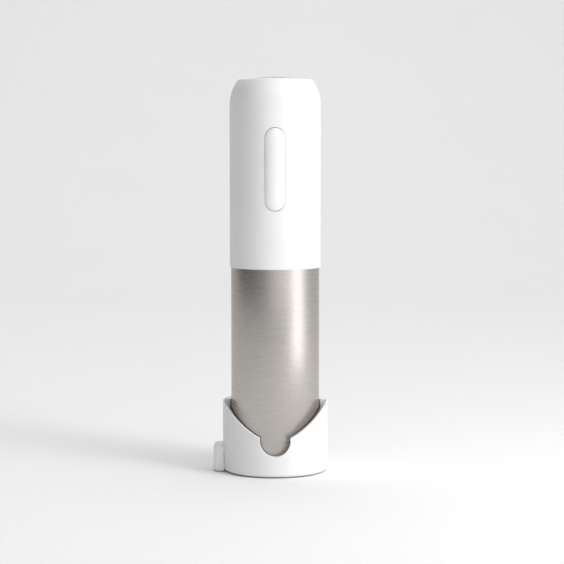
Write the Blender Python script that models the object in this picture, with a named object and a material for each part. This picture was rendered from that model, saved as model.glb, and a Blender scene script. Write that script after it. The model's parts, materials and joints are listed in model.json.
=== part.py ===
"""Cordless electric wine opener standing in its round charging base.

Run with: blender --background --python part.py

Metres, +Z up. The origin is on the opener's axis at the underside of the base's foot pad, and -Y is the
front, where the base's rim dips and the rocker button is. From the bottom up, the opener holds a guide
barrel for the bottle's neck, a fixed-height worm, two planetary stages, a motor and four cells.
"""

import math

import bmesh
import bpy
from mathutils import Matrix, Vector

mm = 0.001

# Fits and facets
GAP = 0.3 * mm  # between pieces that touch
RUNNING = 0.1 * mm  # radial play of a shaft or pin in its hole
LARGE_ROUND = 48
MEDIUM_ROUND = 24
SMALL_ROUND = 12

# Outside of the opener
HOUSING_RADIUS = 27.5 * mm
HOUSING_WALL = 2.4 * mm
HOUSING_BOTTOM = 124.4 * mm  # where the white housing meets the steel sleeve
HOUSING_TOP = 237.6 * mm
SHOULDER_ARC = 24.8 * mm
SHOULDER_REACH = 5.3 * mm  # from the flat crown out to the side
CROWN_THICKNESS = 4.0 * mm
CAP_RADIUS = 16.5 * mm
CAP_RISE = 1.8 * mm
CAP_SEAT = 1.2 * mm
SLEEVE_STEP = 0.75 * mm  # how much the sleeve is set in from the housing
SLEEVE_WALL = 0.6 * mm
SLEEVE_GRIP = 4.0 * mm  # how far the sleeve enters the housing's groove
OPENER_BOTTOM = 10.3 * mm

# Mouth ring and guide barrel
LIP_THICKNESS = 1.2 * mm
MOUTH_PLUG = 9.7 * mm
MOUTH_FLARE_RADIUS = 19.8 * mm
MOUTH_FLARE_HEIGHT = 4.7 * mm
BARREL_SEAT = 6.7 * mm
NECK_BORE = 17.0 * mm
NECK_DEPTH = 38.0 * mm  # how far a bottle's neck enters before its lip seats
CORK_BORE = 13.2 * mm
BARREL_WALL = 2.0 * mm
BARREL_FLANGE = 3.0 * mm
RIB_REACH = 1.6 * mm
RIB_THICKNESS = 1.6 * mm
RIB_COUNT = 4
WIRE_HOLE = 1.1 * mm

# Worm
WORM_TIP_INSET = 8.0 * mm
WORM_HELIX = 3.2 * mm
WORM_WIRE = 1.35 * mm
WORM_PITCH = 9.0 * mm
WORM_STEPS = 12
CHUCK_RADIUS = 5.5 * mm
CHUCK_BOTTOM = 90.0 * mm
CHUCK_WEB = 2.0 * mm

# Gearbox
OUTPUT_PLATE_BOTTOM = 104.6 * mm
OUTPUT_PLATE_THICKNESS = 6.0 * mm
OUTPUT_SHAFT = 3.9 * mm
OUTPUT_SHAFT_LENGTH = 14.0 * mm
BUSH_WALL = 1.8 * mm
FRAME_DISC_PLAY = 0.8 * mm
GEAR_MODULE = 0.6 * mm
PRESSURE_ANGLE = math.radians(20.0)
SUN_TEETH = 12
PLANET_TEETH = 18
RING_TEETH = 48
BACKLASH = 0.05 * mm
PLANET_COUNT = 3
GEAR_WIDTH = 6.8 * mm
RING_GEAR_RADIUS = 18.0 * mm
CARRIER_LIFT = 1.1 * mm  # of the lower carrier from the ring gear's foot
CARRIER_SPACE = 1.3 * mm  # along the axis, past each stage's gears
RING_GEAR_MARGIN = 2.7 * mm
CARRIER_RADIUS = 12.5 * mm
CARRIER_THICKNESS = 2.0 * mm
PLANET_PIN = 1.6 * mm
MOTOR_PLATE_THICKNESS = 2.5 * mm

# Motor
MOTOR_RADIUS = 13.85 * mm
MOTOR_CAN_LENGTH = 34.0 * mm
MOTOR_CAN_WALL = 1.0 * mm
MOTOR_CAP_LENGTH = 3.7 * mm
MOTOR_SHAFT = 1.15 * mm
MAGNET_THICKNESS = 1.9 * mm
ARMATURE_RADIUS = 9.9 * mm
ARMATURE_POLES = 3
MOTOR_SCREW_SPACING = 16.0 * mm

# Cells, chassis and board
CELL_RADIUS = 7.1 * mm
CELL_LENGTH = 43.0 * mm
CELL_SPACING = 14.8 * mm
CHASSIS_PLAY = 0.6 * mm
CHASSIS_WALL = 2.0 * mm
SHELF_THICKNESS = 2.5 * mm
BOARD_MARGIN = 2.55 * mm  # on each side of the rocker
BOARD_THICKNESS = 1.6 * mm
BOARD_LENGTH = 62.0 * mm
BOARD_INSET = 5.1 * mm  # behind the rocker

# Rocker button
ROCKER_WIDTH = 11.9 * mm
ROCKER_LENGTH = 49.0 * mm
ROCKER_HEIGHT = 183.9 * mm  # of its pivot
ROCKER_PROUD = 1.2 * mm
ROCKER_THICKNESS = 3.8 * mm
ROCKER_PIVOT_INSET = 1.7 * mm
ROCKER_PIN = 1.0 * mm
SWITCH_SPACING = 32.0 * mm
SWITCH_SIDE = 6.0 * mm

# Charging base
BASE_WALL = 4.0 * mm
WELL_PLAY = 1.25 * mm  # round the sleeve
BASE_BOTTOM = 0.6 * mm
BASE_RIM = 43.0 * mm
BASE_EDGE = 2.0 * mm
DIP_ARC = 56.6 * mm  # radius of each flank of the rim's dip
DIP_ARC_OFFSET = 16.0 * mm  # from the axis across to the flank's centre, on the other side
DIP_ARC_HEIGHT = 74.8 * mm
DIP_BACK = 2.0 * mm  # how far behind the axis the dip ends
NOTCH_RADIUS = 9.0 * mm
NOTCH_HEIGHT = 22.0 * mm  # of its centre
LEDGE_REACH = 3.0 * mm
FLOOR_TOP = 8.8 * mm
FLOOR_THICKNESS = 1.6 * mm
BASE_SKIRT = 3.2 * mm
PLATE_BOTTOM = 1.3 * mm
PLATE_THICKNESS = 2.2 * mm
PAD_MARGIN = 1.3 * mm
PAD_THICKNESS = 1.0 * mm
JACK_BLOCK_PROUD = 5.5 * mm  # of the base's side
JACK_BLOCK_WIDTH = 16.0 * mm
JACK_BLOCK_HEIGHT = 16.5 * mm
JACK_BLOCK_CORNER = 3.0 * mm
JACK_BLOCK_SKIN = 1.0 * mm
JACK_WIDTH = 6.6 * mm
JACK_HEIGHT = 5.5 * mm
JACK_BORE = 1.9 * mm
JACK_PIN = 0.65 * mm
CONTACT_INSET = 4.45 * mm  # from the sleeve's side
CONTACT_PIN = 1.6 * mm
CONTACT_TRACK = 1.4 * mm  # half the width of the ring contacts
CONTACT_SWEEP = math.radians(64.0)
BASE_SCREW_INSET = 6.8 * mm

# Screws
SCREW_SHANK = 1.2 * mm
SCREW_HEAD = 2.3 * mm
SCREW_HEAD_HEIGHT = 1.3 * mm
DRIVE_DEPTH = 0.7 * mm
DRIVE_RADIUS = 1.1 * mm
BARREL_SCREW_INSET = 3.3 * mm

# Charge leads
LEAD_INSET = 7.0 * mm  # from the housing's side
LEAD_BEND = 2.2 * mm  # how far they turn in on their way to the board
LEAD_PAST_BOARD = 3.75 * mm  # where they leave the housing's side
LEAD_RADIUS = 0.5 * mm

# Places that follow from the sizes above
CROWN_RADIUS = HOUSING_RADIUS - SHOULDER_REACH
HOUSING_BORE = HOUSING_RADIUS - HOUSING_WALL
SLEEVE_RADIUS = HOUSING_RADIUS - SLEEVE_STEP
FRAME_DISC_RADIUS = HOUSING_BORE - FRAME_DISC_PLAY
BARREL_SCREW_RADIUS = FRAME_DISC_RADIUS - BARREL_SCREW_INSET
LEAD_X = HOUSING_RADIUS - LEAD_INSET
CHASSIS_RADIUS = HOUSING_BORE - CHASSIS_PLAY
MOTOR_PLATE_RADIUS = CHASSIS_RADIUS - CHASSIS_WALL - GAP
BASE_WELL = SLEEVE_RADIUS + WELL_PLAY
BASE_RADIUS = BASE_WELL + BASE_WALL
BASE_CAVITY = BASE_RADIUS - BASE_SKIRT
BASE_SCREW_RADIUS = BASE_CAVITY - BASE_SCREW_INSET
PAD_RADIUS = BASE_CAVITY - PAD_MARGIN
LEDGE_HEIGHT = OPENER_BOTTOM - GAP
LEDGE_RADIUS = BASE_WELL - LEDGE_REACH
JACK_BLOCK_REACH = BASE_RADIUS + JACK_BLOCK_PROUD  # from the axis to the socket's face
CONTACT_RADIUS = SLEEVE_RADIUS - CONTACT_INSET
WELL_BOTTOM = FLOOR_TOP - FLOOR_THICKNESS
PLATE_TOP = PLATE_BOTTOM + PLATE_THICKNESS
MOUTH_TOP = OPENER_BOTTOM + MOUTH_PLUG
BARREL_BOTTOM = OPENER_BOTTOM + BARREL_SEAT + GAP
NECK_SEAT = OPENER_BOTTOM + NECK_DEPTH
FLANGE_TOP = OUTPUT_PLATE_BOTTOM - GAP
FLANGE_BOTTOM = FLANGE_TOP - BARREL_FLANGE
OUTPUT_PLATE_TOP = OUTPUT_PLATE_BOTTOM + OUTPUT_PLATE_THICKNESS
RING_BOTTOM = OUTPUT_PLATE_TOP + GAP
CARRIER_2_BOTTOM = RING_BOTTOM + CARRIER_LIFT
CARRIER_STEP = CARRIER_THICKNESS + GEAR_WIDTH + CARRIER_SPACE  # from one stage's carrier to the next
RING_TOP = CARRIER_2_BOTTOM + 2 * CARRIER_STEP + RING_GEAR_MARGIN
CARRIER_1_BOTTOM = CARRIER_2_BOTTOM + CARRIER_STEP
ORBIT = GEAR_MODULE * (SUN_TEETH + PLANET_TEETH) / 2
MOTOR_PLATE_BOTTOM = RING_TOP + GAP
MOTOR_BOTTOM = MOTOR_PLATE_BOTTOM + MOTOR_PLATE_THICKNESS + GAP
MOTOR_CAN_TOP = MOTOR_BOTTOM + MOTOR_CAN_LENGTH
MOTOR_TOP = MOTOR_CAN_TOP + GAP + MOTOR_CAP_LENGTH
CELL_SHELF = MOTOR_TOP + 3.4 * mm
CELL_BOTTOM = CELL_SHELF + SHELF_THICKNESS + GAP
CELL_TOP = CELL_BOTTOM + CELL_LENGTH
CROWN_UNDERSIDE = HOUSING_TOP - CROWN_THICKNESS
CAP_FLOOR = HOUSING_TOP - CAP_SEAT
BOARD_WIDTH = ROCKER_WIDTH + 2 * BOARD_MARGIN
BOARD_BOTTOM = ROCKER_HEIGHT - BOARD_LENGTH / 2
ROCKER_FRONT = -(HOUSING_RADIUS + ROCKER_PROUD)
ROCKER_BACK = ROCKER_FRONT + ROCKER_THICKNESS
ROCKER_PIVOT_Y = ROCKER_BACK + ROCKER_PIVOT_INSET
BOARD_FRONT = ROCKER_BACK + BOARD_INSET
TOP_SCREW_X = 9.0 * mm

BLACK_PLASTIC = ("black plastic", (0.03, 0.03, 0.032), 0.45, 0.0)
WHITE_PLASTIC = ("white plastic", (0.86, 0.86, 0.85), 0.42, 0.0)
BUTTON_PLASTIC = ("button plastic", (0.88, 0.88, 0.87), 0.38, 0.0)
BRUSHED_STEEL = ("brushed steel", (0.62, 0.58, 0.55), 0.32, 1.0)
BRIGHT_STEEL = ("bright steel", (0.70, 0.70, 0.71), 0.20, 1.0)
COATED_STEEL = ("coated steel", (0.10, 0.10, 0.11), 0.35, 0.6)
ZINC_STEEL = ("zinc plated steel", (0.66, 0.67, 0.69), 0.34, 1.0)
BRASS = ("brass", (0.80, 0.62, 0.30), 0.28, 1.0)
GEAR_NYLON = ("gear nylon", (0.80, 0.78, 0.72), 0.48, 0.0)
CELL_SLEEVE = ("cell sleeve", (0.10, 0.32, 0.22), 0.35, 0.0)
BOARD_GREEN = ("circuit board", (0.03, 0.20, 0.09), 0.45, 0.0)
MAGNET_GREY = ("ferrite", (0.09, 0.09, 0.10), 0.60, 0.0)
PAD_RUBBER = ("pad rubber", (0.12, 0.12, 0.12), 0.85, 0.0)
LEAD_RED = ("red lead", (0.55, 0.03, 0.03), 0.45, 0.0)
LEAD_BLACK = ("black lead", (0.02, 0.02, 0.02), 0.45, 0.0)


# ---------------------------------------------------------------- making shapes


def finish_of(paint):
    """The material of that name, made once."""
    name, colour, roughness, metallic = paint
    material = bpy.data.materials.get(name)
    if material is None:
        material = bpy.data.materials.new(name)
        material.use_nodes = True
        shader = material.node_tree.nodes["Principled BSDF"]
        shader.inputs["Base Color"].default_value = (*colour, 1.0)
        shader.inputs["Roughness"].default_value = roughness
        shader.inputs["Metallic"].default_value = metallic
    return material


def object_of(name, shape, paint, smooth=True):
    """A bmesh as a named object in the scene."""
    bmesh.ops.remove_doubles(shape, verts=shape.verts, dist=1e-7)
    bmesh.ops.recalc_face_normals(shape, faces=shape.faces)
    mesh = bpy.data.meshes.new(name)
    shape.to_mesh(mesh)
    shape.free()
    if smooth:
        mesh.shade_smooth()
        mesh.set_sharp_from_angle(angle=math.radians(35.0))
    made = bpy.data.objects.new(name, mesh)
    made.data.materials.append(finish_of(paint))
    bpy.context.scene.collection.objects.link(made)
    return made


def set_origin(made, point):
    """Moves an object's origin there and leaves its shape where it is."""
    made.data.transform(Matrix.Translation(-Vector(point)))
    made.location = point


def turned(outline, steps=LARGE_ROUND, sweep=2 * math.pi, start=0.0):
    """An outline of (radius, height) corners spun about Z. An outline that ends on the axis is left open there."""
    shape = bmesh.new()
    corners = [shape.verts.new((radius, 0.0, height)) for radius, height in outline]
    pairs = list(zip(corners, corners[1:] + corners[:1]))
    sides = [shape.edges.new(p) for p in pairs if p[0].co.x > 0 or p[1].co.x > 0]
    bmesh.ops.rotate(shape, verts=corners, cent=(0, 0, 0), matrix=Matrix.Rotation(start, 3, "Z"))
    whole = sweep > 2 * math.pi - 1e-6
    if not whole:
        first_end = shape.faces.new(corners)
    spun = bmesh.ops.spin(
        shape, geom=corners + sides, cent=(0, 0, 0), axis=(0, 0, 1), angle=sweep, steps=steps, use_merge=whole
    )
    if not whole:
        last = [v for v in spun["geom_last"] if isinstance(v, bmesh.types.BMVert)]
        first_end.normal_update()
        shape.faces.new(last)
    return shape


def plate(loops, bottom, top):
    """A flat piece with vertical sides: the first loop is its edge and the others are holes."""
    shape = bmesh.new()
    sides = []
    for loop in loops:
        corners = [shape.verts.new((x, y, bottom)) for x, y in loop]
        sides += [shape.edges.new(pair) for pair in zip(corners, corners[1:] + corners[:1])]
    filled = bmesh.ops.triangle_fill(shape, edges=sides, use_beauty=True, use_dissolve=False)
    faces = [f for f in filled["geom"] if isinstance(f, bmesh.types.BMFace)]
    raised = bmesh.ops.extrude_face_region(shape, geom=faces, use_keep_orig=True)
    moved = [v for v in raised["geom"] if isinstance(v, bmesh.types.BMVert)]
    bmesh.ops.translate(shape, verts=moved, vec=(0, 0, top - bottom))
    return shape


def circle(radius, steps, centre=(0.0, 0.0)):
    """A round's corners, the first half a step from the X axis, so that none is on a radial edge of a turned piece."""
    angles = [(i + 0.5) * 2 * math.pi / steps for i in range(steps)]
    return [(centre[0] + radius * math.cos(a), centre[1] + radius * math.sin(a)) for a in angles]


def rounded_box_loop(x_low, x_high, y_low, y_high, corner, steps=5):
    """The plan of a box with round corners."""
    loop = []
    centres = [
        (x_high - corner, y_high - corner),
        (x_low + corner, y_high - corner),
        (x_low + corner, y_low + corner),
        (x_high - corner, y_low + corner),
    ]
    for quarter, (cx, cy) in enumerate(centres):
        for i in range(steps + 1):
            angle = (quarter + i / steps) * math.pi / 2
            loop.append((cx + corner * math.cos(angle), cy + corner * math.sin(angle)))
    return loop


def capsule_loop(width, length, steps=10):
    """A slot shape with round ends, long along its second axis."""
    radius = width / 2
    straight = length / 2 - radius
    loop = []
    for side in (1, -1):
        for i in range(steps + 1):
            angle = math.pi * i / steps + (0 if side == 1 else math.pi)
            loop.append((radius * math.cos(angle), side * straight + radius * math.sin(angle)))
    return loop


def box(x_low, x_high, y_low, y_high, z_low, z_high):
    return plate([[(x_low, y_low), (x_high, y_low), (x_high, y_high), (x_low, y_high)]], z_low, z_high)


def cylinder(radius, bottom, top, centre=(0.0, 0.0), steps=SMALL_ROUND):
    return plate([circle(radius, steps, centre)], bottom, top)


def placed(shape, matrix):
    bmesh.ops.transform(shape, matrix=matrix, verts=shape.verts)
    return shape


def along_x(shape, x, y, z):
    """A shape made along Z, laid along X with its own origin at that point."""
    return placed(shape, Matrix.Translation((x, y, z)) @ Matrix.Rotation(math.pi / 2, 4, "Y"))


def facing_front(shape, y, z):
    """A shape made in plan, stood up to face -Y: its second axis becomes Z and its height runs towards the front."""
    return placed(shape, Matrix.Translation((0, y, z)) @ Matrix.Rotation(math.pi / 2, 4, "X"))


def boolean(target, shape, operation):
    """Cuts the shape from the target, or joins it on. The helper object isn't part of the model."""
    helper = object_of(f"{target.name}_{operation.lower()}", shape, BLACK_PLASTIC, smooth=False)
    helper.hide_render = True
    helper.display_type = "WIRE"
    modifier = target.modifiers.new(helper.name, "BOOLEAN")
    modifier.operation = operation
    modifier.object = helper
    modifier.solver = "EXACT"


def cut(target, shape):
    boolean(target, shape, "DIFFERENCE")


def join(target, shape):
    boolean(target, shape, "UNION")


def round_wire(name, points, radius, paint, sizes=None, resolution=1):
    """A tube along the points, with its own relative size at each."""
    curve = bpy.data.curves.new(name, "CURVE")
    curve.dimensions = "3D"
    curve.bevel_depth = radius
    curve.bevel_resolution = resolution
    curve.use_fill_caps = True
    line = curve.splines.new("POLY")
    line.points.add(len(points) - 1)
    for i, point in enumerate(points):
        line.points[i].co = (*point, 1.0)
        line.points[i].radius = sizes[i] if sizes else 1.0
    wire = bpy.data.objects.new(name, curve)
    wire.data.materials.append(finish_of(paint))
    bpy.context.scene.collection.objects.link(wire)
    return wire


def smooth_route(knots, per_knot=5):
    """Points on a smooth curve through the knots (Catmull-Rom)."""
    knots = [Vector(k) for k in knots]
    padded = [2 * knots[0] - knots[1], *knots, 2 * knots[-1] - knots[-2]]
    points = []
    for a, b, c, d in zip(padded, padded[1:], padded[2:], padded[3:]):
        for i in range(per_knot):
            t = i / per_knot
            points.append(
                0.5 * (2 * b + (c - a) * t + (2 * a - 5 * b + 4 * c - d) * t**2 + (3 * b - a - 3 * c + d) * t**3)
            )
    return [*points, knots[-1]]


def screw(name, x, y, head_bottom, tip, upward=False, head=SCREW_HEAD):
    """A pan-head screw along Z with a cross slot. Its head's bearing face is at head_bottom, and it points at tip."""
    step = -1 if tip < head_bottom else 1
    head_top = head_bottom - step * SCREW_HEAD_HEIGHT
    edge = 0.25 * mm
    outline = [
        (0, head_top),
        (head - edge, head_top),
        (head, head_top + step * edge),
        (head, head_bottom),
        (SCREW_SHANK, head_bottom),
        (SCREW_SHANK, tip - step * SCREW_SHANK),
        (0, tip),
    ]
    made = object_of(name, placed(turned(outline, SMALL_ROUND), Matrix.Translation((x, y, 0))), ZINC_STEEL)
    slot = 0.3 * mm
    low, high = sorted((head_top - step * mm, head_top + step * DRIVE_DEPTH))
    cut(made, box(x - DRIVE_RADIUS, x + DRIVE_RADIUS, y - slot, y + slot, low, high))
    return made


# ---------------------------------------------------------------- gears


def involute(angle):
    return math.tan(angle) - angle


def tooth_half_angle(teeth, radius, backlash):
    """Half the angle that an involute tooth spans at that radius."""
    pitch_radius = GEAR_MODULE * teeth / 2
    base_radius = pitch_radius * math.cos(PRESSURE_ANGLE)
    slope = math.acos(min(1.0, base_radius / max(radius, base_radius)))
    return math.pi / (2 * teeth) + involute(PRESSURE_ANGLE) - involute(slope) - backlash / pitch_radius


def gear_loop(teeth, phase, addendum=0.95, dedendum=1.25, backlash=BACKLASH):
    """A gear's outline, with straight flanks and a tooth centred at the phase angle. A ring gear's inner edge is the
    same shape, grown."""
    pitch_radius = GEAR_MODULE * teeth / 2
    root, tip = pitch_radius - dedendum * GEAR_MODULE, pitch_radius + addendum * GEAR_MODULE
    flank = [root, tip]
    loop = []
    for tooth in range(teeth):
        middle = phase + tooth * 2 * math.pi / teeth
        half = [(r, tooth_half_angle(teeth, r, backlash)) for r in flank]
        for r, spread in [(r, -s) for r, s in half] + [(r, s) for r, s in reversed(half)]:
            angle = middle + spread
            loop.append((r * math.cos(angle), r * math.sin(angle)))
    return loop


def planet_places():
    """(direction from the axis, phase) of each planet, in mesh with a sun that has a tooth at angle 0."""
    for k in range(PLANET_COUNT):
        direction = math.pi / 2 + k * 2 * math.pi / PLANET_COUNT
        sun_share = direction / (2 * math.pi / SUN_TEETH)
        yield direction, direction + math.pi - (0.5 - sun_share) * 2 * math.pi / PLANET_TEETH


def ring_phase():
    """The angle of a gap in the ring gear that a planet's tooth points into."""
    direction, phase = next(planet_places())
    return direction - (direction - phase) * PLANET_TEETH / RING_TEETH


def planets(stage, bottom):
    bore = PLANET_PIN + RUNNING
    for k, (direction, phase) in enumerate(planet_places(), 1):
        centre = (ORBIT * math.cos(direction), ORBIT * math.sin(direction))
        outline = gear_loop(PLANET_TEETH, phase)
        shape = plate([outline, circle(bore, SMALL_ROUND)], bottom, bottom + GEAR_WIDTH)
        gear = object_of(f"planet_gear_{stage}_{k}", shape, GEAR_NYLON, smooth=False)
        gear.location = (*centre, 0)


def carrier(name, outline, bottom, paint):
    """A turned carrier with its planet pins standing up from it."""
    made = object_of(name, turned(outline, MEDIUM_ROUND), paint)
    top = bottom + CARRIER_THICKNESS
    for direction, _ in planet_places():
        centre = (ORBIT * math.cos(direction), ORBIT * math.sin(direction))
        join(made, cylinder(PLANET_PIN, top - mm, top + GEAR_WIDTH + 0.8 * mm, centre))
    return made


# ---------------------------------------------------------------- opener, outside


def shoulder_arc(steps=5):
    """Points up the housing's shoulder, from the vertical side to the flat crown."""
    reach = HOUSING_RADIUS - CROWN_RADIUS
    rise = math.sqrt(SHOULDER_ARC**2 - (SHOULDER_ARC - reach) ** 2)
    centre_radius, centre_height = HOUSING_RADIUS - SHOULDER_ARC, HOUSING_TOP - rise
    last = math.asin(rise / SHOULDER_ARC)
    angles = [last * i / steps for i in range(steps + 1)]
    return [(centre_radius + SHOULDER_ARC * math.cos(a), centre_height + SHOULDER_ARC * math.sin(a)) for a in angles]


def make_upper_housing():
    groove_inner = SLEEVE_RADIUS - SLEEVE_WALL - GAP
    groove_outer = SLEEVE_RADIUS + GAP / 2
    groove_top = HOUSING_BOTTOM + SLEEVE_GRIP + GAP
    cap_recess = CAP_RADIUS + GAP
    taper_bottom, taper_radius = CROWN_UNDERSIDE - 7.7 * mm, HOUSING_BORE - 2.5 * mm
    outline = [
        (0, CAP_FLOOR),
        (cap_recess, CAP_FLOOR),
        (cap_recess, HOUSING_TOP),
        *reversed(shoulder_arc()),
        (HOUSING_RADIUS, HOUSING_BOTTOM),
        (groove_outer, HOUSING_BOTTOM),
        (groove_outer, groove_top),
        (groove_inner, groove_top),
        (groove_inner, HOUSING_BOTTOM),
        (HOUSING_BORE, HOUSING_BOTTOM),
        (HOUSING_BORE, taper_bottom),
        (taper_radius, CROWN_UNDERSIDE),
        (0, CROWN_UNDERSIDE),
    ]
    housing = object_of("upper_housing", turned(outline), WHITE_PLASTIC)
    # Window for the rocker, a little larger than it all round.
    play = 0.8 * mm
    window = plate([capsule_loop(ROCKER_WIDTH + play, ROCKER_LENGTH + play)], 0, 12 * mm)
    cut(housing, facing_front(window, ROCKER_BACK + 4 * mm, ROCKER_HEIGHT))
    # Ears that hold the rocker's pin.
    ear_half = 2.6 * mm
    for side in (-1, 1):
        near, far = ROCKER_WIDTH / 2 + 0.95 * mm, ROCKER_WIDTH / 2 + 3.35 * mm
        x_low, x_high = sorted((side * near, side * far))
        y_low, y_high = ROCKER_PIVOT_Y - 1.8 * mm, ROCKER_PIVOT_Y + 1.6 * mm
        join(housing, box(x_low, x_high, y_low, y_high, ROCKER_HEIGHT - ear_half, ROCKER_HEIGHT + ear_half))
    hole_reach = ROCKER_WIDTH / 2 + 3.6 * mm
    hole = cylinder(ROCKER_PIN + RUNNING, -hole_reach, hole_reach)
    cut(housing, along_x(hole, 0, ROCKER_PIVOT_Y, ROCKER_HEIGHT))
    # Screw holes under the cap.
    for side in (-1, 1):
        centre = (side * TOP_SCREW_X, 0)
        head_floor = CAP_FLOOR - SCREW_HEAD_HEIGHT - 0.3 * mm
        cut(housing, cylinder(SCREW_HEAD + GAP, head_floor, CAP_FLOOR + mm, centre))
        cut(housing, cylinder(SCREW_SHANK + GAP, CROWN_UNDERSIDE - mm, CAP_FLOOR, centre))
        screw(f"top_screw_{'left' if side < 0 else 'right'}", *centre, head_floor + GAP / 2, CROWN_UNDERSIDE - 5 * mm)


def make_top_cap():
    bottom = CAP_FLOOR + GAP
    edge = HOUSING_TOP + 0.1 * mm
    rise = HOUSING_TOP + CAP_RISE - edge
    sphere = (CAP_RADIUS**2 + rise**2) / (2 * rise)
    spread = math.asin(CAP_RADIUS / sphere)
    steps = 4
    dome = [
        (sphere * math.sin(spread * i / steps), edge + rise - sphere * (1 - math.cos(spread * i / steps)))
        for i in range(steps, -1, -1)
    ]
    outline = [(0, bottom), (CAP_RADIUS, bottom), *dome[:-1], (0, HOUSING_TOP + CAP_RISE)]
    object_of("top_cap", turned(outline), BRUSHED_STEEL)


def make_lower_sleeve():
    inner = SLEEVE_RADIUS - SLEEVE_WALL
    bottom = OPENER_BOTTOM + LIP_THICKNESS + GAP
    top = HOUSING_BOTTOM + SLEEVE_GRIP
    outline = [(inner, bottom), (SLEEVE_RADIUS, bottom), (SLEEVE_RADIUS, top), (inner, top)]
    object_of("lower_sleeve", turned(outline), BRUSHED_STEEL)


def make_mouth_ring():
    """The plastic ring that closes the sleeve's lower end and guides the bottle's neck in."""
    plug = SLEEVE_RADIUS - SLEEVE_WALL - GAP
    barrel_outside = NECK_BORE + BARREL_WALL
    lip_top = OPENER_BOTTOM + LIP_THICKNESS
    seat = OPENER_BOTTOM + BARREL_SEAT
    outline = [
        (MOUTH_FLARE_RADIUS, OPENER_BOTTOM),
        (SLEEVE_RADIUS, OPENER_BOTTOM),
        (SLEEVE_RADIUS, lip_top),
        (plug, lip_top),
        (plug, MOUTH_TOP),
        (barrel_outside + GAP, MOUTH_TOP),
        (barrel_outside + GAP, seat),
        (NECK_BORE, seat),
        (NECK_BORE, OPENER_BOTTOM + MOUTH_FLARE_HEIGHT),
    ]
    ring = object_of("mouth_ring", turned(outline), BLACK_PLASTIC)
    recess = 0.7 * mm
    half_track = CONTACT_TRACK + GAP
    margin = GAP / CONTACT_RADIUS
    for side, middle in (("left", math.pi), ("right", 0.0)):
        pocket = [
            (CONTACT_RADIUS - half_track, OPENER_BOTTOM - mm),
            (CONTACT_RADIUS + half_track, OPENER_BOTTOM - mm),
            (CONTACT_RADIUS + half_track, OPENER_BOTTOM + recess),
            (CONTACT_RADIUS - half_track, OPENER_BOTTOM + recess),
        ]
        sweep = CONTACT_SWEEP + 2 * margin
        cut(ring, turned(pocket, SMALL_ROUND, sweep, middle - sweep / 2))
        hole = cylinder(WIRE_HOLE, OPENER_BOTTOM, MOUTH_TOP + mm, (math.cos(middle) * CONTACT_RADIUS, 0))
        cut(ring, hole)
        strip = [
            (CONTACT_RADIUS - CONTACT_TRACK, OPENER_BOTTOM),
            (CONTACT_RADIUS + CONTACT_TRACK, OPENER_BOTTOM),
            (CONTACT_RADIUS + CONTACT_TRACK, OPENER_BOTTOM + recess - GAP),
            (CONTACT_RADIUS - CONTACT_TRACK, OPENER_BOTTOM + recess - GAP),
        ]
        arc = turned(strip, SMALL_ROUND, CONTACT_SWEEP, middle - CONTACT_SWEEP / 2)
        object_of(f"charge_contact_{side}", arc, BRASS)


def make_neck_barrel():
    """Guides the bottle's neck up to its seat, then holds the drawn cork between its ribs."""
    neck_outside = NECK_BORE + BARREL_WALL
    cork_outside = CORK_BORE + BARREL_WALL
    slope = neck_outside - cork_outside
    outline = [
        (NECK_BORE, BARREL_BOTTOM),
        (neck_outside, BARREL_BOTTOM),
        (neck_outside, NECK_SEAT + BARREL_WALL),
        (cork_outside, NECK_SEAT + BARREL_WALL + slope),
        (cork_outside, FLANGE_BOTTOM),
        (FRAME_DISC_RADIUS, FLANGE_BOTTOM),
        (FRAME_DISC_RADIUS, FLANGE_TOP),
        (CORK_BORE, FLANGE_TOP),
        (CORK_BORE, NECK_SEAT),
        (NECK_BORE, NECK_SEAT),
    ]
    barrel = object_of("neck_barrel", turned(outline), BLACK_PLASTIC)
    for k in range(RIB_COUNT):
        low, high = CORK_BORE - RIB_REACH, CORK_BORE + BARREL_WALL / 2
        rib = box(low, high, -RIB_THICKNESS / 2, RIB_THICKNESS / 2, NECK_SEAT + 4 * mm, CHUCK_BOTTOM + 2 * mm)
        turn = math.pi / 4 + k * 2 * math.pi / RIB_COUNT
        join(barrel, placed(rib, Matrix.Rotation(turn, 4, "Z")))
    for side in (-1, 1):
        cut(barrel, cylinder(WIRE_HOLE, FLANGE_BOTTOM - mm, FLANGE_TOP + mm, (side * LEAD_X, 0)))
    for x, y in barrel_screw_places():
        cut(barrel, cylinder(SCREW_SHANK + GAP, FLANGE_BOTTOM - mm, FLANGE_TOP + mm, (x, y)))


def barrel_screw_places():
    for k in range(3):
        angle = math.pi / 2 + k * 2 * math.pi / 3
        yield BARREL_SCREW_RADIUS * math.cos(angle), BARREL_SCREW_RADIUS * math.sin(angle)


# ---------------------------------------------------------------- rocker, board, cells, chassis


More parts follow.
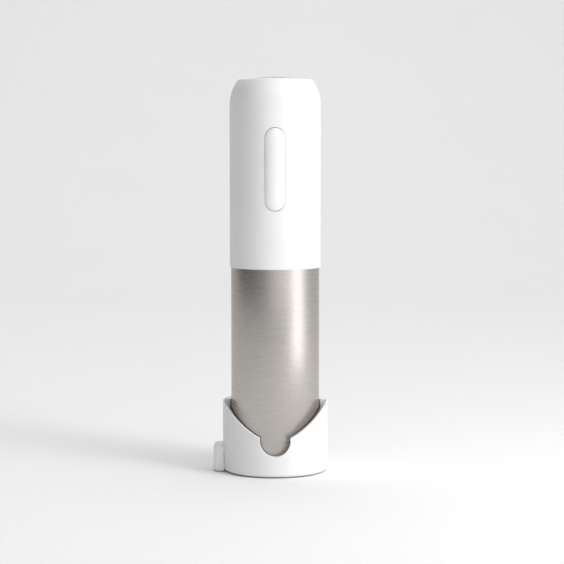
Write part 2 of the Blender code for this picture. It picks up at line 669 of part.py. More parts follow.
def make_rocker():
    edge = 1.1 * mm
    pad = plate([capsule_loop(ROCKER_WIDTH, ROCKER_LENGTH)], 0, ROCKER_THICKNESS)
    rim = [e for e in pad.edges if all(abs(v.co.z - ROCKER_THICKNESS) < 1e-9 for v in e.verts)]
    rim = [e for e in rim if len({round(f.normal.z) for f in e.link_faces}) != 1 or e.calc_face_angle(0) > 1]
    bmesh.ops.bevel(pad, geom=rim, offset=edge, segments=3, profile=0.5, affect="EDGES", clamp_overlap=False)
    rocker = object_of("rocker_button", facing_front(pad, ROCKER_BACK, ROCKER_HEIGHT), BUTTON_PLASTIC)
    set_origin(rocker, (0, ROCKER_PIVOT_Y, ROCKER_HEIGHT))
    rib_half = 2.4 * mm
    rib = box(-rib_half, rib_half, ROCKER_BACK - mm, ROCKER_PIVOT_Y + 1.6 * mm, -rib_half, rib_half)
    join(rocker, placed(rib, Matrix.Translation((0, 0, ROCKER_HEIGHT))))
    for end in (-1, 1):
        leg_half = 1.5 * mm
        leg = box(-leg_half, leg_half, ROCKER_BACK - mm, ROCKER_BACK + 0.9 * mm, -leg_half, leg_half)
        join(rocker, placed(leg, Matrix.Translation((0, 0, ROCKER_HEIGHT + end * SWITCH_SPACING / 2))))
    reach = ROCKER_WIDTH / 2
    cut(rocker, along_x(cylinder(ROCKER_PIN + RUNNING, -reach, reach), 0, ROCKER_PIVOT_Y, ROCKER_HEIGHT))
    pin_half = ROCKER_WIDTH / 2 + 3.1 * mm
    pin = along_x(cylinder(ROCKER_PIN, -pin_half, pin_half), 0, ROCKER_PIVOT_Y, ROCKER_HEIGHT)
    object_of("rocker_pin", pin, BRIGHT_STEEL)


def make_board():
    board_back = BOARD_FRONT + BOARD_THICKNESS
    half = BOARD_WIDTH / 2
    board = box(-half, half, BOARD_FRONT, board_back, BOARD_BOTTOM, BOARD_BOTTOM + BOARD_LENGTH)
    object_of("control_board", board, BOARD_GREEN, smooth=False)
    for end, name in ((1, "switch_up"), (-1, "switch_down")):
        height = ROCKER_HEIGHT + end * SWITCH_SPACING / 2
        side = SWITCH_SIDE / 2
        face = BOARD_FRONT - GAP
        body = object_of(name, box(-side, side, face - 2 * mm, face, height - side, height + side), BLACK_PLASTIC)
        plunger = facing_front(cylinder(1.7 * mm, 0, 1.8 * mm), face - mm, height)
        join(body, plunger)


def make_cells():
    """Four cells stand side by side above the motor."""
    button = 2.4 * mm
    collar = 0.8 * mm
    outline = [
        (0, CELL_BOTTOM),
        (CELL_RADIUS - 0.5 * mm, CELL_BOTTOM),
        (CELL_RADIUS, CELL_BOTTOM + 0.5 * mm),
        (CELL_RADIUS, CELL_TOP - collar - 0.5 * mm),
        (CELL_RADIUS - 0.5 * mm, CELL_TOP - collar),
        (button, CELL_TOP - collar),
        (button, CELL_TOP),
        (0, CELL_TOP),
    ]
    for k in range(4):
        angle = math.pi / 4 + k * math.pi / 2
        reach = CELL_SPACING / math.sqrt(2)
        cell = object_of(f"battery_cell_{k + 1}", turned(outline, 24), CELL_SLEEVE)
        cell.location = (reach * math.cos(angle), reach * math.sin(angle), 0)


def make_chassis():
    """Two half shells that hold the motor and the cells inside the housing."""
    inner = CHASSIS_RADIUS - CHASSIS_WALL
    top = CROWN_UNDERSIDE - 0.5 * mm
    taper = top - 9.2 * mm
    centre_hole = 3 * mm
    motor_hole = MOTOR_RADIUS + 0.35 * mm
    top_shelf = CELL_TOP + 0.6 * mm
    first_ring = MOTOR_BOTTOM + 9.5 * mm
    second_ring = MOTOR_CAN_TOP - 2.5 * mm

    def shelf(reach, bottom):
        return [
            (inner, bottom + SHELF_THICKNESS),
            (reach, bottom + SHELF_THICKNESS),
            (reach, bottom),
            (inner, bottom),
        ]

    outline = [
        (CHASSIS_RADIUS, RING_BOTTOM),
        (CHASSIS_RADIUS, taper),
        (CHASSIS_RADIUS - 2.5 * mm, top),
        (centre_hole, top),
        (centre_hole, top_shelf),
        (inner - 2.2 * mm, top_shelf),
        (inner, taper - 3 * mm),
        *shelf(centre_hole, CELL_SHELF),
        *shelf(motor_hole, second_ring),
        *shelf(motor_hole, first_ring),
        (inner, RING_BOTTOM),
    ]
    for name, side, start in (("left", -1, math.pi / 2), ("right", 1, -math.pi / 2)):
        half = placed(turned(outline, MEDIUM_ROUND // 2, math.pi, start), Matrix.Translation((side * GAP / 2, 0, 0)))
        chassis = object_of(f"chassis_{name}", half, BLACK_PLASTIC)
        window_half = BOARD_WIDTH / 2 + 1.9 * mm
        board_back = BOARD_FRONT + BOARD_THICKNESS + 3.4 * mm
        low, high = BOARD_BOTTOM - 6.5 * mm, BOARD_BOTTOM + BOARD_LENGTH + 4 * mm
        cut(chassis, box(-window_half, window_half, -HOUSING_RADIUS, board_back, low, high))
        cut(chassis, cylinder(SCREW_SHANK + GAP, top_shelf - mm, top + mm, (side * TOP_SCREW_X, 0)))


# ---------------------------------------------------------------- drive


def make_output_plate():
    bush_hole = OUTPUT_SHAFT + RUNNING + BUSH_WALL + GAP
    loops = [circle(FRAME_DISC_RADIUS, LARGE_ROUND), circle(bush_hole, MEDIUM_ROUND)]
    loops += [circle(SCREW_SHANK + GAP, SMALL_ROUND, place) for place in barrel_screw_places()]
    loops += [circle(WIRE_HOLE, SMALL_ROUND, (side * LEAD_X, 0)) for side in (-1, 1)]
    object_of("output_plate", plate(loops, OUTPUT_PLATE_BOTTOM, OUTPUT_PLATE_TOP), BLACK_PLASTIC)
    bore = OUTPUT_SHAFT + RUNNING
    outside = bore + BUSH_WALL
    flange = outside + 1.5 * mm
    outline = [
        (bore, OUTPUT_PLATE_BOTTOM + GAP),
        (outside, OUTPUT_PLATE_BOTTOM + GAP),
        (outside, OUTPUT_PLATE_TOP + GAP),
        (flange, OUTPUT_PLATE_TOP + GAP),
        (flange, OUTPUT_PLATE_TOP + GAP + 0.8 * mm),
        (bore, OUTPUT_PLATE_TOP + GAP + 0.8 * mm),
    ]
    object_of("output_bush", turned(outline, MEDIUM_ROUND), BRASS)
    for k, (x, y) in enumerate(barrel_screw_places(), 1):
        screw(f"barrel_screw_{k}", x, y, FLANGE_BOTTOM - GAP / 2, OUTPUT_PLATE_TOP - mm)


def make_gear_train():
    gap_loop = gear_loop(RING_TEETH, ring_phase(), addendum=1.2, dedendum=0.9, backlash=-BACKLASH)
    ring = plate([circle(RING_GEAR_RADIUS, LARGE_ROUND), gap_loop], RING_BOTTOM, RING_TOP)
    object_of("ring_gear", ring, ZINC_STEEL, smooth=False)

    disc_2 = CARRIER_2_BOTTOM + CARRIER_THICKNESS
    shaft_end = CARRIER_2_BOTTOM - OUTPUT_SHAFT_LENGTH
    outline = [
        (0, shaft_end),
        (OUTPUT_SHAFT, shaft_end),
        (OUTPUT_SHAFT, CARRIER_2_BOTTOM),
        (CARRIER_RADIUS, CARRIER_2_BOTTOM),
        (CARRIER_RADIUS, disc_2),
        (0, disc_2),
    ]
    carrier("output_carrier", outline, CARRIER_2_BOTTOM, BRIGHT_STEEL)
    planets(2, disc_2 + GAP)

    disc_1 = CARRIER_1_BOTTOM + CARRIER_THICKNESS
    outline = [
        (0, CARRIER_1_BOTTOM),
        (CARRIER_RADIUS, CARRIER_1_BOTTOM),
        (CARRIER_RADIUS, disc_1),
        (0, disc_1),
    ]
    first = carrier("first_carrier", outline, CARRIER_1_BOTTOM, BRIGHT_STEEL)
    join(first, plate([gear_loop(SUN_TEETH, 0.0)], disc_2 + GAP, CARRIER_1_BOTTOM + mm))
    planets(1, disc_1 + GAP)

    pinion = [gear_loop(SUN_TEETH, 0.0), circle(MOTOR_SHAFT + GAP, SMALL_ROUND)]
    shape = plate(pinion, disc_1 + GAP, disc_1 + GAP + GEAR_WIDTH)
    object_of("motor_pinion", shape, BRASS, smooth=False)


def make_worm():
    """The open helix with a sharp tip, whose shank runs up the axis into the chuck."""
    tip = OPENER_BOTTOM + WORM_TIP_INSET
    helix_top = CHUCK_BOTTOM - WORM_PITCH * 0.75
    turns = (helix_top - tip) / WORM_PITCH
    count = round(turns * WORM_STEPS)
    points, sizes = [], []
    sharp = WORM_STEPS
    for i in range(count + 1):
        angle = 2 * math.pi * i / WORM_STEPS
        height = tip + WORM_PITCH * i / WORM_STEPS
        share = min(1.0, i / sharp)
        points.append((WORM_HELIX * math.cos(angle), WORM_HELIX * math.sin(angle), height))
        sizes.append(0.12 + 0.88 * math.sqrt(share))
    closing = WORM_STEPS // 2
    for i in range(1, closing + 1):
        angle = 2 * math.pi * (count + i) / WORM_STEPS
        share = i / closing
        reach = WORM_HELIX * (1 - share) ** 1.2
        height = points[count][2] + WORM_PITCH * (i / WORM_STEPS + 0.25 * share**2)
        points.append((reach * math.cos(angle), reach * math.sin(angle), height))
        sizes.append(1.0)
    shank_top = chuck_shank_top() - GAP
    points.append((0, 0, (points[-1][2] + shank_top) / 2))
    points.append((0, 0, shank_top))
    sizes += [1.0, 1.0]
    round_wire("worm", points, WORM_WIRE, COATED_STEEL, sizes)


def chuck_shaft_floor():
    return CARRIER_2_BOTTOM - OUTPUT_SHAFT_LENGTH - GAP


def chuck_shank_top():
    return chuck_shaft_floor() - CHUCK_WEB


def make_worm_chuck():
    shaft_hole = OUTPUT_SHAFT + GAP
    shank_hole = WORM_WIRE + GAP
    top = OUTPUT_PLATE_BOTTOM - 0.8 * mm
    edge = 0.8 * mm
    outline = [
        (shank_hole, CHUCK_BOTTOM),
        (CHUCK_RADIUS - edge, CHUCK_BOTTOM),
        (CHUCK_RADIUS, CHUCK_BOTTOM + edge),
        (CHUCK_RADIUS, top),
        (shaft_hole, top),
        (shaft_hole, chuck_shaft_floor()),
        (0, chuck_shaft_floor()),
        (0, chuck_shank_top()),
        (shank_hole, chuck_shank_top()),
    ]
    object_of("worm_chuck", turned(outline, MEDIUM_ROUND), ZINC_STEEL)


def make_motor():
    shaft_clear = MOTOR_SHAFT + 2.3 * mm
    half_spacing = MOTOR_SCREW_SPACING / 2
    loops = [circle(MOTOR_PLATE_RADIUS, LARGE_ROUND), circle(shaft_clear, MEDIUM_ROUND)]
    for side in (-1, 1):
        loops.append(circle(SCREW_SHANK + GAP, SMALL_ROUND, (side * half_spacing, 0)))
        loops.append(circle(WIRE_HOLE, SMALL_ROUND, (side * LEAD_X, 0)))
    plate_top = MOTOR_PLATE_BOTTOM + MOTOR_PLATE_THICKNESS
    object_of("motor_plate", plate(loops, MOTOR_PLATE_BOTTOM, plate_top), ZINC_STEEL)

    inner = MOTOR_RADIUS - MOTOR_CAN_WALL
    face = MOTOR_BOTTOM + 1.2 * mm
    outline = [
        (shaft_clear, MOTOR_BOTTOM),
        (MOTOR_RADIUS - mm, MOTOR_BOTTOM),
        (MOTOR_RADIUS, MOTOR_BOTTOM + mm),
        (MOTOR_RADIUS, MOTOR_CAN_TOP),
        (inner, MOTOR_CAN_TOP),
        (inner, face),
        (shaft_clear, face),
    ]
    can = object_of("motor_can", turned(outline, MEDIUM_ROUND), ZINC_STEEL)
    for side in (-1, 1):
        centre = (side * half_spacing, 0)
        cut(can, cylinder(SCREW_SHANK + GAP, MOTOR_BOTTOM - mm, face + mm, centre))
        name = f"motor_screw_{'left' if side < 0 else 'right'}"
        screw(name, *centre, MOTOR_PLATE_BOTTOM - GAP / 2, face + 1.6 * mm)

    bearing = MOTOR_SHAFT + RUNNING
    outline = [
        (bearing, MOTOR_CAN_TOP - 2 * mm),
        (inner - GAP, MOTOR_CAN_TOP - 2 * mm),
        (inner - GAP, MOTOR_CAN_TOP + GAP),
        (MOTOR_RADIUS, MOTOR_CAN_TOP + GAP),
        (MOTOR_RADIUS, MOTOR_TOP),
        (bearing, MOTOR_TOP),
    ]
    object_of("motor_end_cap", turned(outline, MEDIUM_ROUND), BLACK_PLASTIC)

    magnet_outer = inner - GAP
    low, high = MOTOR_BOTTOM + 5 * mm, MOTOR_CAN_TOP - 5 * mm
    section = [
        (magnet_outer - MAGNET_THICKNESS, low),
        (magnet_outer, low),
        (magnet_outer, high),
        (magnet_outer - MAGNET_THICKNESS, high),
    ]
    sweep = math.radians(120.0)
    for side, middle in (("left", math.pi), ("right", 0.0)):
        object_of(f"motor_magnet_{side}", turned(section, SMALL_ROUND, sweep, middle - sweep / 2), MAGNET_GREY)

    shape = plate([armature_loop(), circle(MOTOR_SHAFT + GAP, SMALL_ROUND)], low + mm, high - mm)
    object_of("motor_armature", shape, COATED_STEEL, smooth=False)
    shaft_bottom = CARRIER_1_BOTTOM + CARRIER_THICKNESS + 2 * GAP
    object_of("motor_shaft", cylinder(MOTOR_SHAFT, shaft_bottom, MOTOR_TOP + 1.5 * mm), BRIGHT_STEEL)


def armature_loop():
    """The wound poles: wide faces on narrow necks."""
    loop = []
    neck = 2.6 * mm
    hub = 4.2 * mm
    face_half = math.radians(48.0)
    under_face = ARMATURE_RADIUS - 2 * mm
    for pole in range(ARMATURE_POLES):
        middle = 2 * math.pi * pole / ARMATURE_POLES
        neck_low, neck_high = math.asin(neck / hub), math.asin(neck / under_face)
        corners = [(hub, -neck_low), (under_face, -neck_high), (under_face, -face_half)]
        corners += [(ARMATURE_RADIUS, face_half * (i / 4 - 1)) for i in range(9)]
        corners += [(under_face, face_half), (under_face, neck_high), (hub, neck_low)]
        loop += [(r * math.cos(middle + a), r * math.sin(middle + a)) for r, a in corners]
    return loop


def make_leads():
    """Two leads carry the charge from the ring contacts up to the control board."""
    board_foot = BOARD_BOTTOM - GAP
    between = (BOARD_FRONT + BOARD_THICKNESS / 2, 7.0 * mm)
    level = MOTOR_BOTTOM + 4 * mm
    for side, name, paint in ((-1, "charge_lead_left", LEAD_BLACK), (1, "charge_lead_right", LEAD_RED)):
        bend = LEAD_X - LEAD_BEND
        first, second = math.radians(25.0), math.acos((BOARD_WIDTH / 2 + LEAD_PAST_BOARD) / bend)
        knots = [
            (side * CONTACT_RADIUS, 0, OPENER_BOTTOM + 1.2 * mm),
            (side * CONTACT_RADIUS, 0, MOUTH_TOP + 4 * mm),
            (side * LEAD_X, 0, MOUTH_TOP + 14 * mm),
            (side * LEAD_X, 0, NECK_SEAT + 20 * mm),
            (side * LEAD_X, 0, OUTPUT_PLATE_TOP),
            (side * LEAD_X, 0, MOTOR_PLATE_BOTTOM + mm),
            (side * LEAD_X, 0, MOTOR_PLATE_BOTTOM + MOTOR_PLATE_THICKNESS + 1.5 * mm),
            (side * bend * math.cos(first), -bend * math.sin(first), level),
            (side * bend * math.cos(second), -bend * math.sin(second), level + mm),
            (side * between[1], between[0], board_foot),
        ]
        round_wire(name, smooth_route(knots, 3), LEAD_RADIUS, paint, resolution=0)


# ---------------------------------------------------------------- charging base


def make_base_shell():
    arc_steps = 4
    edge = [
        (
            BASE_RADIUS - BASE_EDGE + BASE_EDGE * math.sin(math.pi / 2 * i / arc_steps),
            BASE_BOTTOM + BASE_EDGE - BASE_EDGE * math.cos(math.pi / 2 * i / arc_steps),
        )
        for i in range(arc_steps + 1)
    ]
    outline = [
        (BASE_CAVITY, BASE_BOTTOM),
        *edge,
        (BASE_RADIUS, BASE_RIM),
        (BASE_WELL, BASE_RIM),
        (BASE_WELL, LEDGE_HEIGHT),
        (LEDGE_RADIUS, LEDGE_HEIGHT),
        (LEDGE_RADIUS, FLOOR_TOP),
        (0, FLOOR_TOP),
        (0, WELL_BOTTOM),
        (BASE_CAVITY, WELL_BOTTOM),
    ]
    shell = object_of("base_shell", turned(outline), WHITE_PLASTIC)

    # The front half of the rim dips between two arcs, with a round notch at its lowest point.
    dip = plate([dip_loop()], 0, DIP_BACK + BASE_RADIUS + 5 * mm)
    cut(shell, facing_front(dip, DIP_BACK, 0))
    notch = cylinder(NOTCH_RADIUS, 0, BASE_RADIUS - LEDGE_RADIUS + 6 * mm, steps=MEDIUM_ROUND)
    cut(shell, facing_front(notch, -LEDGE_RADIUS + mm, NOTCH_HEIGHT))

    # The block on the left that holds the charging socket, with its pocket opening downwards.
    half = JACK_BLOCK_WIDTH / 2
    inner_end = -(BASE_WELL + mm)
    block = rounded_box_loop(-JACK_BLOCK_REACH, inner_end, -half, half, JACK_BLOCK_CORNER)
    join(shell, rounded_top(plate([block], BASE_BOTTOM, JACK_BLOCK_HEIGHT), JACK_BLOCK_HEIGHT, 2 * mm))
    tongue_end, tongue_half = tongue_size()
    cut(shell, box(-tongue_end - GAP, -20 * mm, -tongue_half - GAP, tongue_half + GAP, -mm, PLATE_TOP + GAP))
    pocket_half = JACK_WIDTH / 2 + GAP
    jack_low, jack_high = jack_heights()
    cut(shell, box(-tongue_end, inner_end, -pocket_half, pocket_half, mm, jack_high + GAP))
    cut(shell, box(inner_end - mm, -20 * mm, -pocket_half, pocket_half, mm, WELL_BOTTOM - 0.4 * mm))
    socket = cylinder(JACK_BORE + 0.7 * mm, 0, 4 * mm, steps=MEDIUM_ROUND)
    cut(shell, along_x(socket, -JACK_BLOCK_REACH - mm, 0, (jack_low + jack_high) / 2))

    for side in (-1, 1):
        cut(shell, cylinder(CONTACT_PIN + 0.25 * mm, WELL_BOTTOM - mm, FLOOR_TOP + mm, (side * CONTACT_RADIUS, 0)))
    for x, y in base_screw_places():
        boss = plate([circle(3.2 * mm, SMALL_ROUND, (x, y))], PLATE_TOP + GAP, WELL_BOTTOM + 0.8 * mm)
        join(shell, boss)
        cut(shell, cylinder(SCREW_SHANK + GAP, PLATE_BOTTOM, WELL_BOTTOM, (x, y)))


def dip_loop(steps=8):
    """The dip's outline as seen from the front: two arcs that meet on the axis and end above the rim."""
    above = 2 * mm
    first = math.asin(DIP_ARC_OFFSET / DIP_ARC)
    last = math.acos((DIP_ARC_HEIGHT - BASE_RIM - above) / DIP_ARC)
    angles = [first + (last - first) * i / steps for i in range(steps + 1)]
    flank = [(DIP_ARC * math.sin(a) - DIP_ARC_OFFSET, DIP_ARC_HEIGHT - DIP_ARC * math.cos(a)) for a in angles]
    return [*flank, *((-x, z) for x, z in reversed(flank[1:]))]


def rounded_top(shape, height, radius):
    """The shape with the edges of its flat top rounded."""
    rim = [e for e in shape.edges if all(abs(v.co.z - height) < 1e-9 for v in e.verts)]
    rim = [e for e in rim if e.calc_face_angle(0) > 1]
    bmesh.ops.bevel(shape, geom=rim, offset=radius, segments=3, profile=0.5, affect="EDGES", clamp_overlap=False)
    return shape


def tongue_size():
    """How far the bottom plate's tongue reaches from the axis, and half its width."""
    return JACK_BLOCK_REACH - JACK_BLOCK_SKIN - GAP, JACK_BLOCK_WIDTH / 2 - JACK_BLOCK_SKIN - GAP


def jack_heights():
    low = PLATE_TOP + GAP
    return low, low + JACK_HEIGHT


def base_screw_places():
    for k in range(3):
        angle = math.pi / 2 + k * 2 * math.pi / 3
        yield BASE_SCREW_RADIUS * math.cos(angle), BASE_SCREW_RADIUS * math.sin(angle)


def make_base_plate():
    radius = BASE_CAVITY - 0.4 * mm
    cover = object_of("base_plate", plate([circle(radius, LARGE_ROUND)], PLATE_BOTTOM, PLATE_TOP), BLACK_PLASTIC)
    tongue_end, tongue_half = tongue_size()
    tongue = rounded_box_loop(-tongue_end, -radius + 6 * mm, -tongue_half, tongue_half, 2 * mm, steps=3)
    join(cover, plate([tongue], PLATE_BOTTOM, PLATE_TOP))
    head_floor = PLATE_BOTTOM + 1.45 * mm
    hole = [
        (0, PLATE_BOTTOM - mm),
        (SCREW_HEAD + GAP, PLATE_BOTTOM - mm),
        (SCREW_HEAD + GAP, head_floor),
        (SCREW_SHANK + GAP, head_floor),
        (SCREW_SHANK + GAP, PLATE_TOP + mm),
        (0, PLATE_TOP + mm),
    ]
    for k, (x, y) in enumerate(base_screw_places(), 1):
        cut(cover, placed(turned(hole, SMALL_ROUND), Matrix.Translation((x, y, 0))))
        screw(f"base_screw_{k}", x, y, head_floor - GAP / 2, WELL_BOTTOM - mm)
    pad = plate([circle(PAD_RADIUS, LARGE_ROUND)], 0, PAD_THICKNESS)
    object_of("foot_pad", pad, PAD_RUBBER)


def make_charge_board():
    bottom = PLATE_TOP + 0.5 * mm
    top = bottom + 1.2 * mm
    half_width = 7 * mm
    end = CONTACT_RADIUS + 4 * mm
    board = box(-end, end, -half_width, half_width, bottom, top)
    object_of("charge_board", board, BOARD_GREEN, smooth=False)
    pin_top = LEDGE_HEIGHT
    collar_bottom, collar_top = top + 1.2 * mm, WELL_BOTTOM - GAP
    bore = CONTACT_PIN - 0.45 * mm
    bore_top = pin_top - 0.9 * mm
    outline = [
        (bore, collar_bottom),
        (CONTACT_PIN + 0.8 * mm, collar_bottom),
        (CONTACT_PIN + 0.8 * mm, collar_top),
        (CONTACT_PIN, collar_top),
        (CONTACT_PIN, pin_top - 0.5 * mm),
        (CONTACT_PIN - 0.5 * mm, pin_top),
        (0, pin_top),
        (0, bore_top),
        (bore, bore_top),
    ]
    wire = 0.16 * mm
    coil = bore - wire - 0.2 * mm
    coil_bottom, coil_top = top + GAP + wire, bore_top - GAP - wire
    turns, steps = 4, 8
    for side, name in ((-1, "left"), (1, "right")):
        pin = object_of(f"contact_pin_{name}", turned(outline, 20), BRASS)
        pin.location = (side * CONTACT_RADIUS, 0, 0)
        points = [
            (
                side * CONTACT_RADIUS + coil * math.cos(2 * math.pi * i / steps),
                coil * math.sin(2 * math.pi * i / steps),
                coil_bottom + (coil_top - coil_bottom) * i / (turns * steps),
            )
            for i in range(turns * steps + 1)
        ]
        round_wire(f"contact_spring_{name}", points, wire, BRIGHT_STEEL, resolution=0)


def make_jack():
    """The charging socket: a block with a round bore and a pin standing in it."""
    low, high = jack_heights()
    tongue_end, _ = tongue_size()
    outer, inner = -tongue_end + GAP, -(BASE_WELL + mm + 2 * GAP)
    half = JACK_WIDTH / 2
    jack = object_of("charge_jack", box(outer, inner, -half, half, low, high), BLACK_PLASTIC, smooth=False)
    middle = (low + high) / 2
    depth = (inner - outer) * 0.75
    cut(jack, along_x(cylinder(JACK_BORE, -mm, depth, steps=MEDIUM_ROUND), outer, 0, middle))
    join(jack, along_x(cylinder(JACK_PIN, mm, depth + mm), outer, 0, middle))


def clear_scene():
    for old in list(bpy.data.objects):
        bpy.data.objects.remove(old)


clear_scene()
make_upper_housing()
make_top_cap()
make_lower_sleeve()
make_mouth_ring()
make_neck_barrel()
make_rocker()
make_board()
make_cells()
make_chassis()
make_output_plate()
make_gear_train()
make_worm()
make_worm_chuck()
make_motor()
make_leads()
make_base_shell()
make_base_plate()
make_charge_board()
make_jack()
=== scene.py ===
"""Electric wine opener standing in its charging base: the fine surfaces, finishes, studio and camera.

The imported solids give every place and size. Pieces that show are remade here with their real roundings, and
the pieces inside keep their solids and get their finishes. Metres, +Z up, the front is -Y.
"""

import json
import math

import bmesh
import bpy
from mathutils import Matrix, Vector


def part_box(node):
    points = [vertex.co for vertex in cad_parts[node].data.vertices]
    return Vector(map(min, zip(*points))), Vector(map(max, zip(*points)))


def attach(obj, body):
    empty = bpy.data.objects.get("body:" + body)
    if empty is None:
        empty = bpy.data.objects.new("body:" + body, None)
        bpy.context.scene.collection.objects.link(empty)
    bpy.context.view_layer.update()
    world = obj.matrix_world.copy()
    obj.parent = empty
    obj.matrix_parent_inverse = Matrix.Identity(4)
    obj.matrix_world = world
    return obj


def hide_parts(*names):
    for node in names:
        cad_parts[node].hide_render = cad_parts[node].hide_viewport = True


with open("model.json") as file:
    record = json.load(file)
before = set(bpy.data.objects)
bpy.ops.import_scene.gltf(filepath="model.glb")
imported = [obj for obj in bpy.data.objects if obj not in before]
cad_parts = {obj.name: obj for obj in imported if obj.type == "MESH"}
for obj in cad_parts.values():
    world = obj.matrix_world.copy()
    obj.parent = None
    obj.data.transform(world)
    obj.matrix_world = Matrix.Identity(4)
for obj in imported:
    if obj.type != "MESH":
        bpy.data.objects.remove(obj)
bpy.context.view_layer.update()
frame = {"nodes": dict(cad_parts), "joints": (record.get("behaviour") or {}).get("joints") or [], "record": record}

mm = 0.001
FLAT_ANGLE = math.radians(32.0)  # edges sharper than this stay sharp in the shading
SAME_PLACE = 1e-7  # metres, within which two points are one

# Facets round the turned pieces
FINEST = 256  # the sleeve, whose metal would show them first
FINE = 192
LARGE_INNER = 128
MEDIUM = 96
SMALL = 40


# ---------------------------------------------------------------- places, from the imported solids


def radius_of(node):
    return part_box(node)[1].x


def low_of(node):
    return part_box(node)[0].z


def high_of(node):
    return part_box(node)[1].z


housing_radius = radius_of("upper_housing")
housing_bottom = low_of("upper_housing")
housing_top = high_of("upper_housing")
cap_radius = radius_of("top_cap")
cap_top = high_of("top_cap")
sleeve_radius = radius_of("lower_sleeve")
sleeve_bottom = low_of("lower_sleeve")
sleeve_top = high_of("lower_sleeve")
opener_bottom = low_of("mouth_ring")
base_radius = radius_of("base_shell")
base_bottom = low_of("base_shell")
base_rim = high_of("base_shell")
jack_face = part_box("base_shell")[0].x
button_low, button_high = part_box("rocker_button")
button_width = button_high.x - button_low.x
button_length = button_high.z - button_low.z
pivot = next(Vector(j["pos_m"]) for j in frame["joints"] if j["name"] == "rocker_tilt")
contact_x = (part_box("contact_pin_right")[0].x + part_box("contact_pin_right")[1].x) / 2
contact_half = 1.4 * mm

# Sizes of the hidden sides and the small roundings
housing_wall = 2.4 * mm
sleeve_wall = 0.6 * mm
seam = 0.3 * mm
button_back = pivot.y - 1.7 * mm
pivot_hole = 1.1 * mm
lead_hole = 1.1 * mm
screw_hole = 1.5 * mm
shoulder_arc = 24.8 * mm
shoulder_reach = 5.3 * mm
crown_thickness = 4.0 * mm
base_well = base_radius - 4.4 * mm
base_cavity = base_radius - 3.2 * mm
base_floor_top = 8.8 * mm
base_floor_under = 7.2 * mm
ledge_height = opener_bottom - seam
ledge_radius = base_radius - 7.0 * mm
dip_arc = 56.6 * mm
dip_arc_offset = 16.0 * mm
dip_arc_height = base_rim + 31.8 * mm
dip_back = 2.0 * mm
notch_radius = 9.0 * mm
notch_height = 22.0 * mm


# ---------------------------------------------------------------- shaping


def smoothed(mesh):
    """Smooth shading that keeps the sharp edges."""
    mesh.shade_smooth()
    mesh.set_sharp_from_angle(angle=FLAT_ANGLE)


def piece(name, shape, material):
    """A finished shape as an object at the origin, with its place in its mesh."""
    mesh = bpy.data.meshes.new(name)
    shape.to_mesh(mesh)
    shape.free()
    mesh.materials.append(material)
    smoothed(mesh)
    made = bpy.data.objects.new(name, mesh)
    bpy.context.scene.collection.objects.link(made)
    return made


def fitted(made, body, slot, *nodes):
    """Sets a piece on its body, in place of its solids."""
    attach(made, body)
    if nodes:
        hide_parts(*nodes)


def arc(centre, radius, start, end, steps):
    """Points on an arc between two angles in degrees, in the plane of (radius, height)."""
    angles = [math.radians(start + (end - start) * i / steps) for i in range(steps + 1)]
    return [(centre[0] + radius * math.cos(a), centre[1] + radius * math.sin(a)) for a in angles]


def eased(corners, steps=3):
    """A closed outline of (radius, height) points, from corners that are (radius, height, rounding)."""
    nearly_straight = math.radians(86.0)
    most = 0.45  # of a side's length, which a rounding may take
    points = []
    count = len(corners)
    for i, (radius, height, size) in enumerate(corners):
        here = Vector((radius, height))
        before = Vector(corners[i - 1][:2]) - here
        after = Vector(corners[(i + 1) % count][:2]) - here
        if size <= 0 or before.length < 1e-9 or after.length < 1e-9:
            points.append(tuple(here))
            continue
        half = before.angle(after) / 2
        if half > nearly_straight:
            points.append(tuple(here))
            continue
        reach = min(size / math.tan(half), before.length * most, after.length * most)
        first = here + before.normalized() * reach
        last = here + after.normalized() * reach
        for k in range(steps + 1):
            t = k / steps
            points.append(tuple((1 - t) ** 2 * first + 2 * t * (1 - t) * here + t**2 * last))
    return points


def heights_between(start, end, count):
    """Heights along a tall side, which keep its facets short so that it shades evenly."""
    return [start + (end - start) * k / count for k in range(1, count)]


def spun(outline, steps=FINE, centre=(0.0, 0.0)):
    """An outline of (radius, height) points turned about the vertical axis through the centre."""
    shape = bmesh.new()
    corners = [shape.verts.new((max(r, 0.0), 0.0, h)) for r, h in outline]
    pairs = zip(corners, corners[1:] + corners[:1])
    sides = [shape.edges.new(p) for p in pairs if p[0].co.x > SAME_PLACE or p[1].co.x > SAME_PLACE]
    bmesh.ops.spin(
        shape, geom=corners + sides, cent=(0, 0, 0), axis=(0, 0, 1), angle=2 * math.pi, steps=steps,
        use_merge=True,
    )
    bmesh.ops.remove_doubles(shape, verts=shape.verts, dist=SAME_PLACE)
    bmesh.ops.recalc_face_normals(shape, faces=shape.faces)
    bmesh.ops.translate(shape, verts=shape.verts, vec=(*centre, 0))
    return shape


def slab(loop, low, high):
    """A flat piece with the plan of the loop, between two heights."""
    shape = bmesh.new()
    face = shape.faces.new([shape.verts.new((x, y, low)) for x, y in loop])
    raised = bmesh.ops.extrude_face_region(shape, geom=[face])
    moved = [v for v in raised["geom"] if isinstance(v, bmesh.types.BMVert)]
    bmesh.ops.translate(shape, verts=moved, vec=(0, 0, high - low))
    bmesh.ops.recalc_face_normals(shape, faces=shape.faces)
    return shape


def box(low, high):
    shape = bmesh.new()
    low, high = Vector(low), Vector(high)
    bmesh.ops.create_cube(shape, size=1.0)
    bmesh.ops.scale(shape, verts=shape.verts, vec=high - low)
    bmesh.ops.translate(shape, verts=shape.verts, vec=(low + high) / 2)
    return shape


def rod(radius, low, high, centre=(0.0, 0.0)):
    """An upright cylinder between two heights."""
    shape = bmesh.new()
    bmesh.ops.create_cone(
        shape, cap_ends=True, segments=SMALL, radius1=radius, radius2=radius, depth=high - low,
        matrix=Matrix.Translation((*centre, (low + high) / 2)),
    )
    return shape


